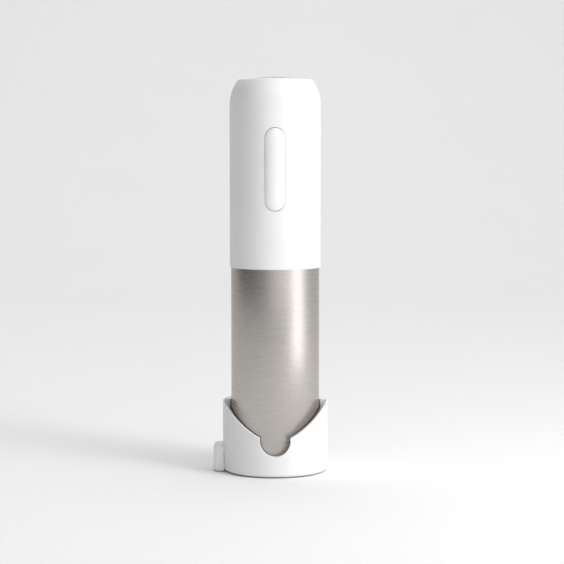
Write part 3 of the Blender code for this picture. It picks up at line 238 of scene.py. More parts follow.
def bevelled(shape, edges, size, segments, clamp_overlap=True):
    """Rounds the chosen edges."""
    bmesh.ops.bevel(
        shape, geom=edges, offset=size, segments=segments, profile=0.5, affect="EDGES", material=-1,
        clamp_overlap=clamp_overlap,
    )


def rounded(shape, size, segments=3, angle=30.0):
    """The shape with its sharp edges rounded. The angle in degrees says which are sharp."""
    edges = [e for e in shape.edges if e.is_manifold and e.calc_face_angle(0) > math.radians(angle)]
    bevelled(shape, edges, size, segments)
    return shape


def turned_to(shape, matrix):
    bmesh.ops.transform(shape, matrix=matrix, verts=shape.verts)
    return shape


def facing_front(shape, y, z):
    """A shape made in plan, stood up: its second axis becomes Z and its height runs towards the front."""
    return turned_to(shape, Matrix.Translation((0, y, z)) @ Matrix.Rotation(math.pi / 2, 4, "X"))


def lying_along_x(shape, x, y, z):
    """An upright shape laid down, so that its height runs along X from the place given."""
    return turned_to(shape, Matrix.Translation((x, y, z)) @ Matrix.Rotation(math.pi / 2, 4, "Y"))


def cut_and_joined(made, cutters=(), additions=()):
    """Applies Booleans to a piece, additions first, and leaves a plain mesh."""
    tools = []
    for shapes, operation in ((additions, "UNION"), (cutters, "DIFFERENCE")):
        for shape in shapes:
            mesh = bpy.data.meshes.new("tool")
            shape.to_mesh(mesh)
            shape.free()
            tool = bpy.data.objects.new("tool", mesh)
            bpy.context.scene.collection.objects.link(tool)
            tools.append(tool)
            modifier = made.modifiers.new("fit", "BOOLEAN")
            modifier.operation = operation
            modifier.object = tool
            modifier.solver = "EXACT"
    applied(made)
    for tool in tools:
        bpy.data.objects.remove(tool)


def applied(made):
    """Makes what the modifiers give the piece's own mesh."""
    graph = bpy.context.evaluated_depsgraph_get()
    mesh = bpy.data.meshes.new_from_object(made.evaluated_get(graph))
    made.modifiers.clear()
    made.data = mesh


def eased_cuts(made, chosen, size):
    """Rounds the sharp edges that the test picks out, after close points along them are merged."""
    sharp = math.radians(38.0)
    close, left_over = 0.28 * mm, 0.01 * mm
    shape = bmesh.new()
    shape.from_mesh(made.data)
    bmesh.ops.remove_doubles(shape, verts=shape.verts, dist=SAME_PLACE)

    def picked():
        return [
            e for e in shape.edges
            if e.is_manifold and e.calc_face_angle(0) > sharp and all(chosen(v.co) for v in e.verts)
        ]

    near = {v for e in picked() for v in e.verts}
    bmesh.ops.remove_doubles(shape, verts=list(near), dist=close)
    bevelled(shape, picked(), size, 3, clamp_overlap=False)
    bmesh.ops.remove_doubles(shape, verts=shape.verts, dist=left_over)
    shape.to_mesh(made.data)
    shape.free()
    smoothed(made.data)
    modifier = made.modifiers.new("even shading", "WEIGHTED_NORMAL")
    modifier.keep_sharp = True
    applied(made)


def capsule(width, length, steps=24):
    """The outline of a slot with round ends, long along its second axis."""
    straight = length / 2 - width / 2
    upper = arc((0, straight), width / 2, 0, 180, steps)
    lower = arc((0, -straight), width / 2, 180, 360, steps)
    return upper + lower


def round_corners(x_low, x_high, y_low, y_high, corner):
    """The outline of a rectangle with round corners."""
    loop = []
    centres = [(x_high - corner, y_high - corner), (x_low + corner, y_high - corner)]
    centres += [(x_low + corner, y_low + corner), (x_high - corner, y_low + corner)]
    for quarter, centre in enumerate(centres):
        loop += arc(centre, corner, 90 * quarter, 90 * quarter + 90, 8)
    return loop


# ---------------------------------------------------------------- finishes


class Finish:
    """A material under way: its shader, and short ways to add the patterns that real surfaces have."""

    def __init__(self, name, colour, roughness, metallic=0.0):
        self.material = bpy.data.materials.new(name)
        self.material.use_nodes = True
        self.tree = self.material.node_tree
        self.shader = self.tree.nodes["Principled BSDF"]
        self.shader.inputs["Base Color"].default_value = (*colour, 1.0)
        self.shader.inputs["Roughness"].default_value = roughness
        self.shader.inputs["Metallic"].default_value = metallic
        self.colour = colour
        self.height = None
        self.place = self.tree.nodes.new("ShaderNodeTexCoord").outputs["Object"]

    def add(self, kind, **settings):
        node = self.tree.nodes.new(kind)
        for key, value in settings.items():
            setattr(node, key, value)
        return node

    def link(self, output, target):
        self.tree.links.new(output, target)

    def stretched(self, scale):
        """Object coordinates, scaled along each axis."""
        node = self.add("ShaderNodeMapping")
        node.inputs["Scale"].default_value = scale
        self.link(self.place, node.inputs["Vector"])
        return node.outputs["Vector"]

    def noise(self, scale, detail, stretch=(1, 1, 1), rough=0.55):
        """Noise with that many features to the metre, squeezed along each axis by the stretch."""
        node = self.add("ShaderNodeTexNoise")
        node.inputs["Scale"].default_value = scale
        node.inputs["Detail"].default_value = detail
        node.inputs["Roughness"].default_value = rough
        self.link(self.stretched(stretch), node.inputs["Vector"])
        return node.outputs["Fac"]

    def ranged(self, value, low, high, start=0.3, end=0.7):
        """A pattern's value brought between two others."""
        node = self.add("ShaderNodeMapRange")
        node.inputs["From Min"].default_value = start
        node.inputs["From Max"].default_value = end
        node.inputs["To Min"].default_value = low
        node.inputs["To Max"].default_value = high
        self.link(value, node.inputs["Value"])
        return node.outputs["Result"]

    def toned(self, value, shades, start=0.3, end=0.7):
        """The base colour, lighter and darker by the pattern."""
        node = self.add("ShaderNodeMix", data_type="RGBA")
        node.inputs["A"].default_value = (*(c * shades[0] for c in self.colour), 1.0)
        node.inputs["B"].default_value = (*(min(1.0, c * shades[1]) for c in self.colour), 1.0)
        self.link(self.ranged(value, 0.0, 1.0, start, end), node.inputs["Factor"])
        self.link(node.outputs["Result"], self.shader.inputs["Base Color"])

    def roughened(self, value, low, high):
        """The roughness, brought between two values by the pattern."""
        self.link(self.ranged(value, low, high), self.shader.inputs["Roughness"])

    def bumped(self, value, depth):
        """Adds relief of that depth in metres, on top of any relief there is."""
        node = self.add("ShaderNodeBump")
        node.inputs["Strength"].default_value = 1.0
        node.inputs["Distance"].default_value = depth
        self.link(value, node.inputs["Height"])
        if self.height:
            self.link(self.height, node.inputs["Normal"])
        self.height = node.outputs["Normal"]
        self.link(self.height, self.shader.inputs["Normal"])


def satin_moulding(name, colour, roughness, grain=0.006 * mm):
    """Satin moulded plastic: a very fine spark-eroded grain, slow flow variation and faint handling marks."""
    finish = Finish(name, colour, roughness)
    finish.shader.inputs["Specular IOR Level"].default_value = 0.45
    flow = finish.noise(38.0, 2.0, (1, 1, 0.35))
    finish.toned(flow, (0.975, 1.02))
    handling = finish.noise(260.0, 5.0, rough=0.7)
    finish.roughened(handling, roughness - 0.05, roughness + 0.05)
    finish.bumped(finish.noise(5200.0, 2.0), grain)
    finish.bumped(finish.noise(70.0, 1.0), 0.012 * mm)
    return finish.material


def coarse_moulding(name, colour, roughness):
    """Glass-filled black plastic, as inside an appliance: a coarser grain and swirls of filler."""
    finish = Finish(name, colour, roughness)
    swirl = finish.noise(120.0, 6.0, (1, 1, 0.5), 0.65)
    finish.toned(swirl, (0.75, 1.6))
    finish.roughened(finish.noise(420.0, 4.0), roughness - 0.08, roughness + 0.1)
    finish.bumped(finish.noise(2600.0, 3.0), 0.012 * mm)
    return finish.material


def brushed_sleeve(name, colour, roughness):
    """Stainless sheet brushed round the tube: hair-fine level lines, with a soft long-wave unevenness."""
    finish = Finish(name, colour, roughness, 1.0)
    finish.shader.inputs["Anisotropic"].default_value = 0.9
    hairs = finish.noise(900.0, 4.0, (0.06, 0.06, 3.2), 0.75)
    finish.toned(hairs, (0.965, 1.03))
    finish.roughened(hairs, roughness - 0.03, roughness + 0.03)
    finish.bumped(hairs, 0.0012 * mm)
    finish.bumped(finish.noise(30.0, 2.0), 0.01 * mm)
    return finish.material


def spun_cap(name, colour, roughness):
    """A pressed steel cap with the fine rings of its turning."""
    finish = Finish(name, colour, roughness, 1.0)
    rings = finish.add("ShaderNodeTexWave", wave_type="RINGS", rings_direction="Z", wave_profile="SAW")
    rings.inputs["Scale"].default_value = 900.0
    rings.inputs["Distortion"].default_value = 1.4
    rings.inputs["Detail"].default_value = 2.0
    rings.inputs["Detail Scale"].default_value = 3.0
    finish.link(finish.place, rings.inputs["Vector"])
    finish.toned(rings.outputs["Fac"], (0.94, 1.05), 0.0, 1.0)
    finish.bumped(rings.outputs["Fac"], 0.004 * mm)
    finish.roughened(finish.noise(180.0, 4.0), roughness - 0.05, roughness + 0.07)
    return finish.material


def ground_steel(name, colour, roughness):
    """Hardened steel with grinding lines round it and a thin film of oil."""
    finish = Finish(name, colour, roughness, 1.0)
    lines = finish.noise(1400.0, 3.0, (0.2, 0.2, 2.5), 0.7)
    finish.toned(lines, (0.9, 1.06))
    finish.bumped(lines, 0.003 * mm)
    finish.roughened(finish.noise(300.0, 5.0), roughness - 0.07, roughness + 0.1)
    return finish.material


def zinc_plate(name, colour, roughness):
    """Bright zinc over pressed steel: a fine crystal mottle and dull patches."""
    finish = Finish(name, colour, roughness, 1.0)
    crystals = finish.add("ShaderNodeTexVoronoi")
    crystals.inputs["Scale"].default_value = 1600.0
    finish.link(finish.place, crystals.inputs["Vector"])
    finish.toned(crystals.outputs["Color"], (0.88, 1.08), 0.0, 1.0)
    finish.roughened(finish.noise(220.0, 5.0), roughness - 0.1, roughness + 0.12)
    finish.bumped(finish.noise(1100.0, 3.0), 0.005 * mm)
    return finish.material


def coated_worm(name, colour, roughness):
    """Steel wire with a dark slippery coating, a little worn through to grey."""
    finish = Finish(name, colour, roughness, 0.6)
    finish.shader.inputs["Coat Weight"].default_value = 0.25
    finish.shader.inputs["Coat Roughness"].default_value = 0.18
    wear = finish.noise(420.0, 6.0, (1, 1, 0.4), 0.7)
    finish.toned(wear, (0.8, 2.4), 0.45, 0.8)
    finish.roughened(wear, roughness - 0.06, roughness + 0.1)
    finish.bumped(finish.noise(1500.0, 2.0), 0.005 * mm)
    return finish.material


def turned_brass(name, colour, roughness):
    """Brass with the lathe's fine lines and a slight tarnish."""
    finish = Finish(name, colour, roughness, 1.0)
    lines = finish.noise(1800.0, 2.0, (0.3, 0.3, 2.0))
    finish.bumped(lines, 0.003 * mm)
    tarnish = finish.noise(500.0, 5.0, rough=0.65)
    finish.toned(tarnish, (0.78, 1.06))
    finish.roughened(tarnish, roughness + 0.08, roughness - 0.06)
    return finish.material


def gear_nylon(name, colour, roughness):
    """Natural nylon: milky, a little see-through at thin edges, greased."""
    finish = Finish(name, colour, roughness)
    finish.shader.inputs["Subsurface Weight"].default_value = 0.12
    finish.shader.inputs["Subsurface Radius"].default_value = (1.2 * mm, 1.0 * mm, 0.8 * mm)
    finish.shader.inputs["Coat Weight"].default_value = 0.3
    finish.toned(finish.noise(300.0, 3.0), (0.93, 1.04))
    finish.bumped(finish.noise(1800.0, 2.0), 0.006 * mm)
    finish.roughened(finish.noise(150.0, 4.0), roughness - 0.12, roughness + 0.06)
    return finish.material


def cell_sleeve(name, colour, roughness):
    """Shrunk plastic film over a steel can: soft ripples and a slight pull at the ends."""
    finish = Finish(name, colour, roughness)
    finish.shader.inputs["Coat Weight"].default_value = 0.6
    finish.shader.inputs["Coat Roughness"].default_value = 0.12
    ripples = finish.noise(160.0, 2.0, (1, 1, 0.3))
    finish.bumped(ripples, 0.05 * mm)
    finish.toned(finish.noise(60.0, 3.0), (0.9, 1.1))
    finish.roughened(ripples, roughness - 0.06, roughness + 0.05)
    return finish.material


def solder_mask(name, colour, roughness):
    """Green board with tracks showing through the lacquer as slightly lighter, raised paths."""
    finish = Finish(name, colour, roughness)
    tracks = finish.add("ShaderNodeTexBrick", offset=0.35, squash=0.7)
    tracks.inputs["Scale"].default_value = 240.0
    tracks.inputs["Mortar Size"].default_value = 0.06
    tracks.inputs["Color1"].default_value = (0, 0, 0, 1)
    tracks.inputs["Color2"].default_value = (0.15, 0.15, 0.15, 1)
    tracks.inputs["Mortar"].default_value = (1, 1, 1, 1)
    spread = finish.add("ShaderNodeMapping")
    spread.inputs["Rotation"].default_value = (math.pi / 2, 0, 0)
    finish.link(finish.place, spread.inputs["Vector"])
    finish.link(spread.outputs["Vector"], tracks.inputs["Vector"])
    finish.toned(tracks.outputs["Color"], (0.85, 1.9), 0.0, 1.0)
    finish.bumped(tracks.outputs["Color"], 0.03 * mm)
    finish.roughened(finish.noise(500.0, 3.0), roughness - 0.08, roughness + 0.08)
    return finish.material


def sintered_magnet(name, colour, roughness):
    """Pressed and fired ferrite: dark, dull and gritty."""
    finish = Finish(name, colour, roughness, 0.2)
    finish.toned(finish.noise(900.0, 6.0, rough=0.7), (0.7, 1.5))
    finish.bumped(finish.noise(1500.0, 5.0), 0.02 * mm)
    finish.roughened(finish.noise(700.0, 3.0), roughness - 0.06, roughness + 0.08)
    return finish.material


def foot_rubber(name, colour, roughness):
    """Matt rubber with a fine sanded skin and a little dust in its grain."""
    finish = Finish(name, colour, roughness)
    dust = finish.noise(330.0, 6.0, rough=0.7)
    finish.toned(dust, (0.8, 1.7), 0.4, 0.75)
    finish.bumped(finish.noise(2600.0, 4.0), 0.03 * mm)
    finish.roughened(dust, roughness - 0.05, roughness + 0.04)
    return finish.material


def lead_insulation(name, colour, roughness):
    """Soft plastic round a lead, slightly uneven along its length."""
    finish = Finish(name, colour, roughness)
    finish.toned(finish.noise(400.0, 3.0), (0.8, 1.25))
    finish.bumped(finish.noise(900.0, 2.0), 0.01 * mm)
    finish.roughened(finish.noise(250.0, 3.0), roughness - 0.08, roughness + 0.08)
    return finish.material


WHITE = satin_moulding("satin white moulding", (0.80, 0.80, 0.805), 0.42)
BUTTON = satin_moulding("button moulding", (0.85, 0.85, 0.855), 0.36, 0.004 * mm)
BLACK = coarse_moulding("black moulding", (0.03, 0.03, 0.032), 0.46)
SLEEVE = brushed_sleeve("brushed sleeve", (0.50, 0.47, 0.447), 0.28)
CAP = spun_cap("spun cap", (0.66, 0.65, 0.645), 0.28)
GROUND = ground_steel("ground steel", (0.70, 0.70, 0.71), 0.22)
COATED = coated_worm("coated worm", (0.10, 0.10, 0.11), 0.32)
ZINC = zinc_plate("zinc plate", (0.66, 0.67, 0.69), 0.34)
BRASS = turned_brass("turned brass", (0.80, 0.62, 0.30), 0.28)
NYLON = gear_nylon("gear nylon", (0.80, 0.78, 0.72), 0.46)
CELL = cell_sleeve("cell film", (0.10, 0.32, 0.22), 0.34)
BOARD = solder_mask("solder mask", (0.03, 0.20, 0.09), 0.42)
MAGNET = sintered_magnet("sintered magnet", (0.09, 0.09, 0.10), 0.6)
RUBBER = foot_rubber("foot rubber", (0.40, 0.40, 0.39), 0.85)
RED_LEAD = lead_insulation("red insulation", (0.55, 0.03, 0.03), 0.45)
BLACK_LEAD = lead_insulation("black insulation", (0.02, 0.02, 0.02), 0.45)

SLOT_FINISH = {
    "white_shell": WHITE,
    "button_plastic": BUTTON,
    "black_plastic": BLACK,
    "brushed_sheet": SLEEVE,
    "bright_steel": GROUND,
    "coated_steel": COATED,
    "zinc_steel": ZINC,
    "brass": BRASS,
    "gear_nylon": NYLON,
    "cell_sleeve": CELL,
    "board_green": BOARD,
    "ferrite": MAGNET,
    "pad_rubber": RUBBER,
    "lead_red": RED_LEAD,
    "lead_black": BLACK_LEAD,
}


def finish_inner_pieces():
    """Every solid that keeps its own shape gets the full finish of its slot."""
    for subpart in frame["record"]["subparts"]:
        node = frame["nodes"].get(subpart["node"])
        if node:
            finish = SLOT_FINISH[subpart["material_slot"]]
            for slot in node.material_slots:
                slot.material = finish


# ---------------------------------------------------------------- opener, outside


def make_housing():
    """The white upper shell: straight side, curved shoulder, flat crown with the cap's recess."""
    rise = math.sqrt(shoulder_arc**2 - (shoulder_arc - shoulder_reach) ** 2)
    top_angle = math.degrees(math.asin(rise / shoulder_arc))
    centre = (housing_radius - shoulder_arc, housing_top - rise)
    bore = housing_radius - housing_wall
    crown_under = housing_top - crown_thickness
    groove_outer, groove_inner = sleeve_radius + seam / 2, sleeve_radius - sleeve_wall - seam
    groove_top = sleeve_top + seam
    recess, recess_floor = cap_radius + seam, housing_top - 1.2 * mm
    haunch_drop, haunch_reach = 7.7 * mm, 2.5 * mm
    outline = eased(
        [
            (0, recess_floor, 0),
            (recess, recess_floor, 0.2 * mm),
            (recess, housing_top, 0.25 * mm),
            (housing_radius - shoulder_reach - 0.3 * mm, housing_top, 0),
            *((r, h, 0) for r, h in reversed(arc(centre, shoulder_arc, 0, top_angle - 1.0, 24))),
            *((housing_radius, h, 0) for h in heights_between(centre[1], housing_bottom, 28)),
            (housing_radius, housing_bottom, 0.35 * mm),
            (groove_outer, housing_bottom, 0.1 * mm),
            (groove_outer, groove_top, 0),
            (groove_inner, groove_top, 0),
            (groove_inner, housing_bottom, 0.1 * mm),
            (bore, housing_bottom, 0.2 * mm),
            (bore, crown_under - haunch_drop, 2.0 * mm),
            (bore - haunch_reach, crown_under, 0.5 * mm),
            (0, crown_under, 0),
        ]
    )
    housing = piece("housing_shell", spun(outline), WHITE)
    # The ends have more room than the sides, because the tilting pad's ends swing outwards a little.
    side_room, end_room = 0.1 * mm, 0.3 * mm
    opening = capsule(button_width + 2 * side_room, button_length + 2 * end_room)
    cutters = [facing_front(slab(opening, 0, 12 * mm), button_back + 4 * mm, pivot.z)]
    ears = []
    ear_inner, ear_outer = button_width / 2 + 0.95 * mm, button_width / 2 + 3.35 * mm
    ear_front, ear_back, ear_half = 1.8 * mm, 1.6 * mm, 2.6 * mm
    head_height = 1.6 * mm
    for side in (-1, 1):
        near, far = sorted((side * ear_inner, side * ear_outer))
        low = (near, pivot.y - ear_front, pivot.z - ear_half)
        high = (far, pivot.y + ear_back, pivot.z + ear_half)
        ears.append(box(low, high))
        screw_low, screw_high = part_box(f"top_screw_{'left' if side < 0 else 'right'}")
        middle = ((screw_low.x + screw_high.x) / 2, 0)
        head = (screw_high.x - screw_low.x) / 2 + seam
        cutters.append(rod(head, screw_high.z - head_height, housing_top, middle))
        cutters.append(rod(screw_hole, crown_under - mm, housing_top, middle))
    pin_reach = ear_outer + 0.25 * mm
    cutters.append(lying_along_x(rod(pivot_hole, -pin_reach, pin_reach), 0, pivot.y, pivot.z))
    cut_and_joined(housing, cutters, ears)

    def at_window(point):
        outside = math.hypot(point.x, point.y) > housing_radius - 0.1 * mm
        in_length = abs(point.z - pivot.z) < button_length / 2 + mm
        return outside and point.y < 0 and in_length and abs(point.x) < button_width

    eased_cuts(housing, at_window, 0.18 * mm)
    fitted(housing, "opener", "white_shell", "upper_housing")


def make_crown_cap():
    """A shallow pressed cap that stands a little proud of the crown, with a rolled edge."""
    bottom = low_of("top_cap")
    rise = cap_top - housing_top
    edge_top, dome_foot = housing_top + 0.35 * mm, housing_top + 0.45 * mm
    outwards = [1 - k / 16 for k in range(1, 17)]
    dome = [(cap_radius * share, housing_top + rise * (1 - share**2)) for share in outwards]
    corners = [(0, bottom, 0), (cap_radius, bottom, 0.15 * mm), (cap_radius, edge_top, 0.5 * mm)]
    corners += [(r, max(h, dome_foot), 0) for r, h in dome]
    cap = piece("crown_cap", spun(eased(corners, 4)), CAP)
    fitted(cap, "opener", "brushed_sheet", "top_cap")


def make_sleeve():
    """The steel tube: its lower end is turned in slightly, so that no raw edge shows."""
    inner = sleeve_radius - sleeve_wall
    outline = eased(
        [
            (inner, sleeve_bottom, 0.2 * mm),
            (sleeve_radius, sleeve_bottom, 0.35 * mm),
            (sleeve_radius, sleeve_top, 0.1 * mm),
            (inner, sleeve_top, 0.1 * mm),
        ],
        4,
    )
    sleeve = piece("steel_sleeve", spun(outline, FINEST), SLEEVE)
    fitted(sleeve, "opener", "brushed_sheet", "lower_sleeve")


def make_button():
    """The long rocker pad: a domed capsule, with the pivot's rib and the switches' legs behind it."""
    back = button_back
    rise = 1.15 * mm
    edge = back - button_low.y - rise
    shape = slab(capsule(button_width, button_length, 32), 0, edge)
    face = max(shape.faces, key=lambda f: f.calc_center_median().z)
    # The face is a low dome, made ring by ring from its edge. A fullness of 0.5 would make it an ellipse.
    fullness = 0.72
    shares = (0.0, 0.02, 0.06, 0.13, 0.22, 0.34, 0.48, 0.64, 0.80, 0.93)
    rings = [button_width / 2 * share for share in shares]
    heights = [rise * (1 - (1 - reach / rings[-1]) ** 2) ** fullness for reach in rings]
    for k in range(1, len(rings)):
        bmesh.ops.inset_region(shape, faces=[face], thickness=rings[k] - rings[k - 1], use_even_offset=True)
        bmesh.ops.translate(shape, verts=face.verts, vec=(0, 0, heights[k] - heights[k - 1]))
    # Then it's wrapped round the housing, so that its edge lies flush all the way.
    for vertex in shape.verts:
        if vertex.co.z > edge - 0.01 * mm:
            vertex.co.z -= housing_radius - math.sqrt(housing_radius**2 - vertex.co.x**2)
    back_edges = [e for e in shape.edges if all(abs(v.co.z) < 1e-9 for v in e.verts)]
    bevelled(shape, back_edges, 0.25 * mm, 2)
    bmesh.ops.recalc_face_normals(shape, faces=shape.faces)
    button = piece("button_pad", facing_front(shape, back, pivot.z), BUTTON)
    rib, rib_depth = 2.4 * mm, 1.6 * mm
    leg, leg_depth = 1.5 * mm, 0.9 * mm
    additions = [box((-rib, back - mm, pivot.z - rib), (rib, pivot.y + rib_depth, pivot.z + rib))]
    for end in (-1, 1):
        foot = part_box("switch_up" if end > 0 else "switch_down")
        middle = (foot[0].z + foot[1].z) / 2
        additions.append(box((-leg, back - mm, middle - leg), (leg, back + leg_depth, middle + leg)))
    hole = lying_along_x(rod(pivot_hole, -button_width / 2, button_width / 2), 0, pivot.y, pivot.z)
    cut_and_joined(button, [hole], additions)
    smoothed(button.data)
    fitted(button, "rocker", "button_plastic", "rocker_button")


# ---------------------------------------------------------------- opener, the working end


def track_section(half, bottom, top):
    """The section of a ring-shaped track that runs over the contact pins."""
    near, far = contact_x - half, contact_x + half
    return [(near, bottom), (far, bottom), (far, top), (near, top)]


def make_mouth_ring():
    """The black ring in the sleeve's end, flared to lead a bottle's neck in, with the contact pockets."""
    plug = sleeve_radius - sleeve_wall - seam
    barrel_bottom, barrel_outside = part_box("neck_barrel")[0].z, 19.0 * mm
    bore = barrel_outside - 2.0 * mm
    top = high_of("mouth_ring")
    lip_top = opener_bottom + 1.2 * mm
    seat = barrel_bottom - seam
    flare_reach, flare_height = 2.8 * mm, 4.7 * mm
    shares = [k / 10 for k in range(10)]
    flare = [(bore + flare_reach * s**2, opener_bottom + flare_height * (1 - s)) for s in shares]
    outline = eased(
        [
            (bore + flare_reach, opener_bottom, 0.4 * mm),
            (sleeve_radius, opener_bottom, 0.5 * mm),
            (sleeve_radius, lip_top, 0.2 * mm),
            (plug, lip_top, 0),
            (plug, top, 0.4 * mm),
            (barrel_outside + seam, top, 0.2 * mm),
            (barrel_outside + seam, seat, 0),
            (bore, seat, 0.2 * mm),
            *((r, h, 0) for r, h in flare),
        ]
    )
    ring = piece("mouth_guide", spun(outline), BLACK)
    pockets = []
    for side, node in ((-1, "charge_contact_left"), (1, "charge_contact_right")):
        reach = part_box(node)[1].y
        section = track_section(contact_half + seam, opener_bottom - mm, opener_bottom + 0.7 * mm)
        half_sweep = math.asin(reach / (contact_x + contact_half)) + seam / contact_x
        pockets.append(part_turned(section, 2 * half_sweep, (0 if side > 0 else math.pi) - half_sweep))
        pockets.append(rod(lead_hole, opener_bottom, top + mm, (side * contact_x, 0)))
    cut_and_joined(ring, pockets)
    smoothed(ring.data)
    fitted(ring, "opener", "black_plastic", "mouth_ring")


def part_turned(outline, sweep, start):
    """A closed outline turned through part of a circle, with its two ends filled."""
    shape = bmesh.new()
    face = shape.faces.new([shape.verts.new((r, 0.0, h)) for r, h in outline])
    bmesh.ops.rotate(shape, verts=shape.verts, cent=(0, 0, 0), matrix=Matrix.Rotation(start, 3, "Z"))
    bmesh.ops.spin(
        shape, geom=[face, *face.edges, *face.verts], cent=(0, 0, 0), axis=(0, 0, 1), angle=sweep,
        steps=SMALL, use_merge=False,
    )
    bmesh.ops.remove_doubles(shape, verts=shape.verts, dist=SAME_PLACE)
    bmesh.ops.recalc_face_normals(shape, faces=shape.faces)
    return shape


def make_ring_contacts():
    """Brass strips with rounded edges that touch the base's pins."""
    for side, name in ((-1, "left"), (1, "right")):
        low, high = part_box(f"charge_contact_{name}")
        section = track_section(contact_half, low.z, high.z)
        half_sweep = math.asin(high.y / (contact_x + contact_half))
        shape = part_turned(section, 2 * half_sweep, (0 if side > 0 else math.pi) - half_sweep)
        strip_piece = piece(f"ring_contact_{name}", rounded(shape, 0.12 * mm, 2, 50.0), BRASS)
        fitted(strip_piece, "opener", "brass", f"charge_contact_{name}")


def make_barrel():
    """The guide barrel: a smooth bore for the neck, a seat for its lip, and ribs that hold the drawn cork."""
    low, high = low_of("neck_barrel"), high_of("neck_barrel")
    disc = radius_of("neck_barrel")
    seat = opener_bottom + 38.0 * mm
    neck, cork, wall, flange = 17.0 * mm, 13.2 * mm, 2.0 * mm, 3.0 * mm
    slope = neck - cork
    outline = eased(
        [
            (neck, low, 0.3 * mm),
            (neck + wall, low, 0.3 * mm),
            (neck + wall, seat + wall, 1.2 * mm),
            (cork + wall, seat + wall + slope, 1.2 * mm),
            (cork + wall, high - flange, 1.0 * mm),
            (disc, high - flange, 0.3 * mm),
            (disc, high, 0.3 * mm),
            (cork, high, 0.4 * mm),
            (cork, seat, 0.8 * mm),
            (neck, seat, 1.0 * mm),
        ],
        4,
    )
    barrel = piece("cork_barrel", spun(outline, LARGE_INNER), BLACK)
    ribs, holes = [], []
    chuck_low = low_of("worm_chuck")
    rib_depth, rib_half, lead_reach = 1.6 * mm, 0.8 * mm, 20.5 * mm
    for k in range(4):
        rib_low = (cork - rib_depth, -rib_half, seat + 4 * mm)
        rib = rounded(box(rib_low, (cork + mm, rib_half, chuck_low + 2 * mm)), 0.35 * mm)
        ribs.append(turned_to(rib, Matrix.Rotation(math.pi / 4 + k * math.pi / 2, 4, "Z")))
    for side in (-1, 1):
        holes.append(rod(lead_hole, high - flange - mm, high + mm, (side * lead_reach, 0)))
    for k in range(3):
        screw_low, screw_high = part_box(f"barrel_screw_{k + 1}")
        middle = (screw_low + screw_high) / 2
        holes.append(rod(screw_hole, high - flange - mm, high + mm, (middle.x, middle.y)))
    cut_and_joined(barrel, holes, ribs)
    smoothed(barrel.data)
    fitted(barrel, "opener", "black_plastic", "neck_barrel")


def make_worm():
    """An open helix with a sharp point, which closes at its top onto a straight shank."""
    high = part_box("worm")[1]
    helix, wire, pitch = 3.2 * mm, 1.35 * mm, 9.0 * mm
    per_turn = 40
    tip = opener_bottom + 8.0 * mm
    helix_top = low_of("worm_chuck") - pitch * 0.75
    count = round((helix_top - tip) / pitch * 12) * per_turn // 12
    closing = per_turn // 2
    point_size, shank_steps = 0.06, 4
    points, sizes = [], []
    for i in range(count + closing + 1):
        angle = 2 * math.pi * i / per_turn
        share = max(0.0, (i - count) / closing)
        reach = helix * (1 - share) ** 1.2
        height = tip + pitch * (i / per_turn + 0.25 * share**2)
        points.append((reach * math.cos(angle), reach * math.sin(angle), height))
        sizes.append(point_size + (1 - point_size) * math.sqrt(min(1.0, i / per_turn)))
    last = points[-1][2]
    for k in range(1, shank_steps + 1):
        points.append((0, 0, last + (high.z - last) * k / shank_steps))
        sizes.append(1.0)
    curve = bpy.data.curves.new("worm_screw", "CURVE")
    curve.dimensions = "3D"
    curve.bevel_depth = wire
    curve.bevel_resolution = 6
    curve.use_fill_caps = True
    curve.materials.append(COATED)
    line = curve.splines.new("POLY")
    line.points.add(len(points) - 1)
    for here, point, size in zip(line.points, points, sizes):
        here.co = (*point, 1.0)
        here.radius = size
    worm = bpy.data.objects.new("worm_screw", curve)
    bpy.context.scene.collection.objects.link(worm)
    fitted(worm, "drive", "coated_steel", "worm")


def make_chuck():
    """The steel holder that the worm's shank sits in, with a groove round its lower end."""
    low, high = low_of("worm_chuck"), high_of("worm_chuck")
    radius = radius_of("worm_chuck")
    shank, shaft = 1.65 * mm, 4.2 * mm
    shaft_floor = low_of("output_carrier") - seam
    shank_top = high_of("worm") + seam
    chamfer = 0.8 * mm
    groove = radius - 0.4 * mm
    corners = [
        (shank, low, 0.3 * mm),
        (radius - chamfer, low, 0.3 * mm),
        (radius, low + chamfer, 0.4 * mm),
        (radius, low + 3.0 * mm, 0.1 * mm),
        (groove, low + 3.2 * mm, 0.1 * mm),
        (groove, low + 4.2 * mm, 0.1 * mm),
        (radius, low + 4.4 * mm, 0.1 * mm),
        (radius, high, 0.3 * mm),
        (shaft, high, 0.2 * mm),
        (shaft, shaft_floor, 0),
        (0, shaft_floor, 0),
        (0, shank_top, 0),
        (shank, shank_top, 0),
    ]
    chuck = piece("worm_holder", spun(eased(corners), MEDIUM), ZINC)
    fitted(chuck, "drive", "zinc_steel", "worm_chuck")


# ---------------------------------------------------------------- charging base


def dip_outline():
    """The cut in the rim as seen from the front: two flanks with the notch's round end between them."""
    above, steps = 4 * mm, 28
    end = math.acos((dip_arc_height - base_rim - above) / dip_arc)
    start = math.asin((notch_radius + dip_arc_offset) / dip_arc)
    angles = [start + (end - start) * i / steps for i in range(steps + 1)]
    flank = [(dip_arc * math.sin(a) - dip_arc_offset, dip_arc_height - dip_arc * math.cos(a)) for a in angles]
    notch = arc((0, notch_height), notch_radius, 180, 360, 26)
    return [*notch, *flank, *((-x, z) for x, z in reversed(flank))]


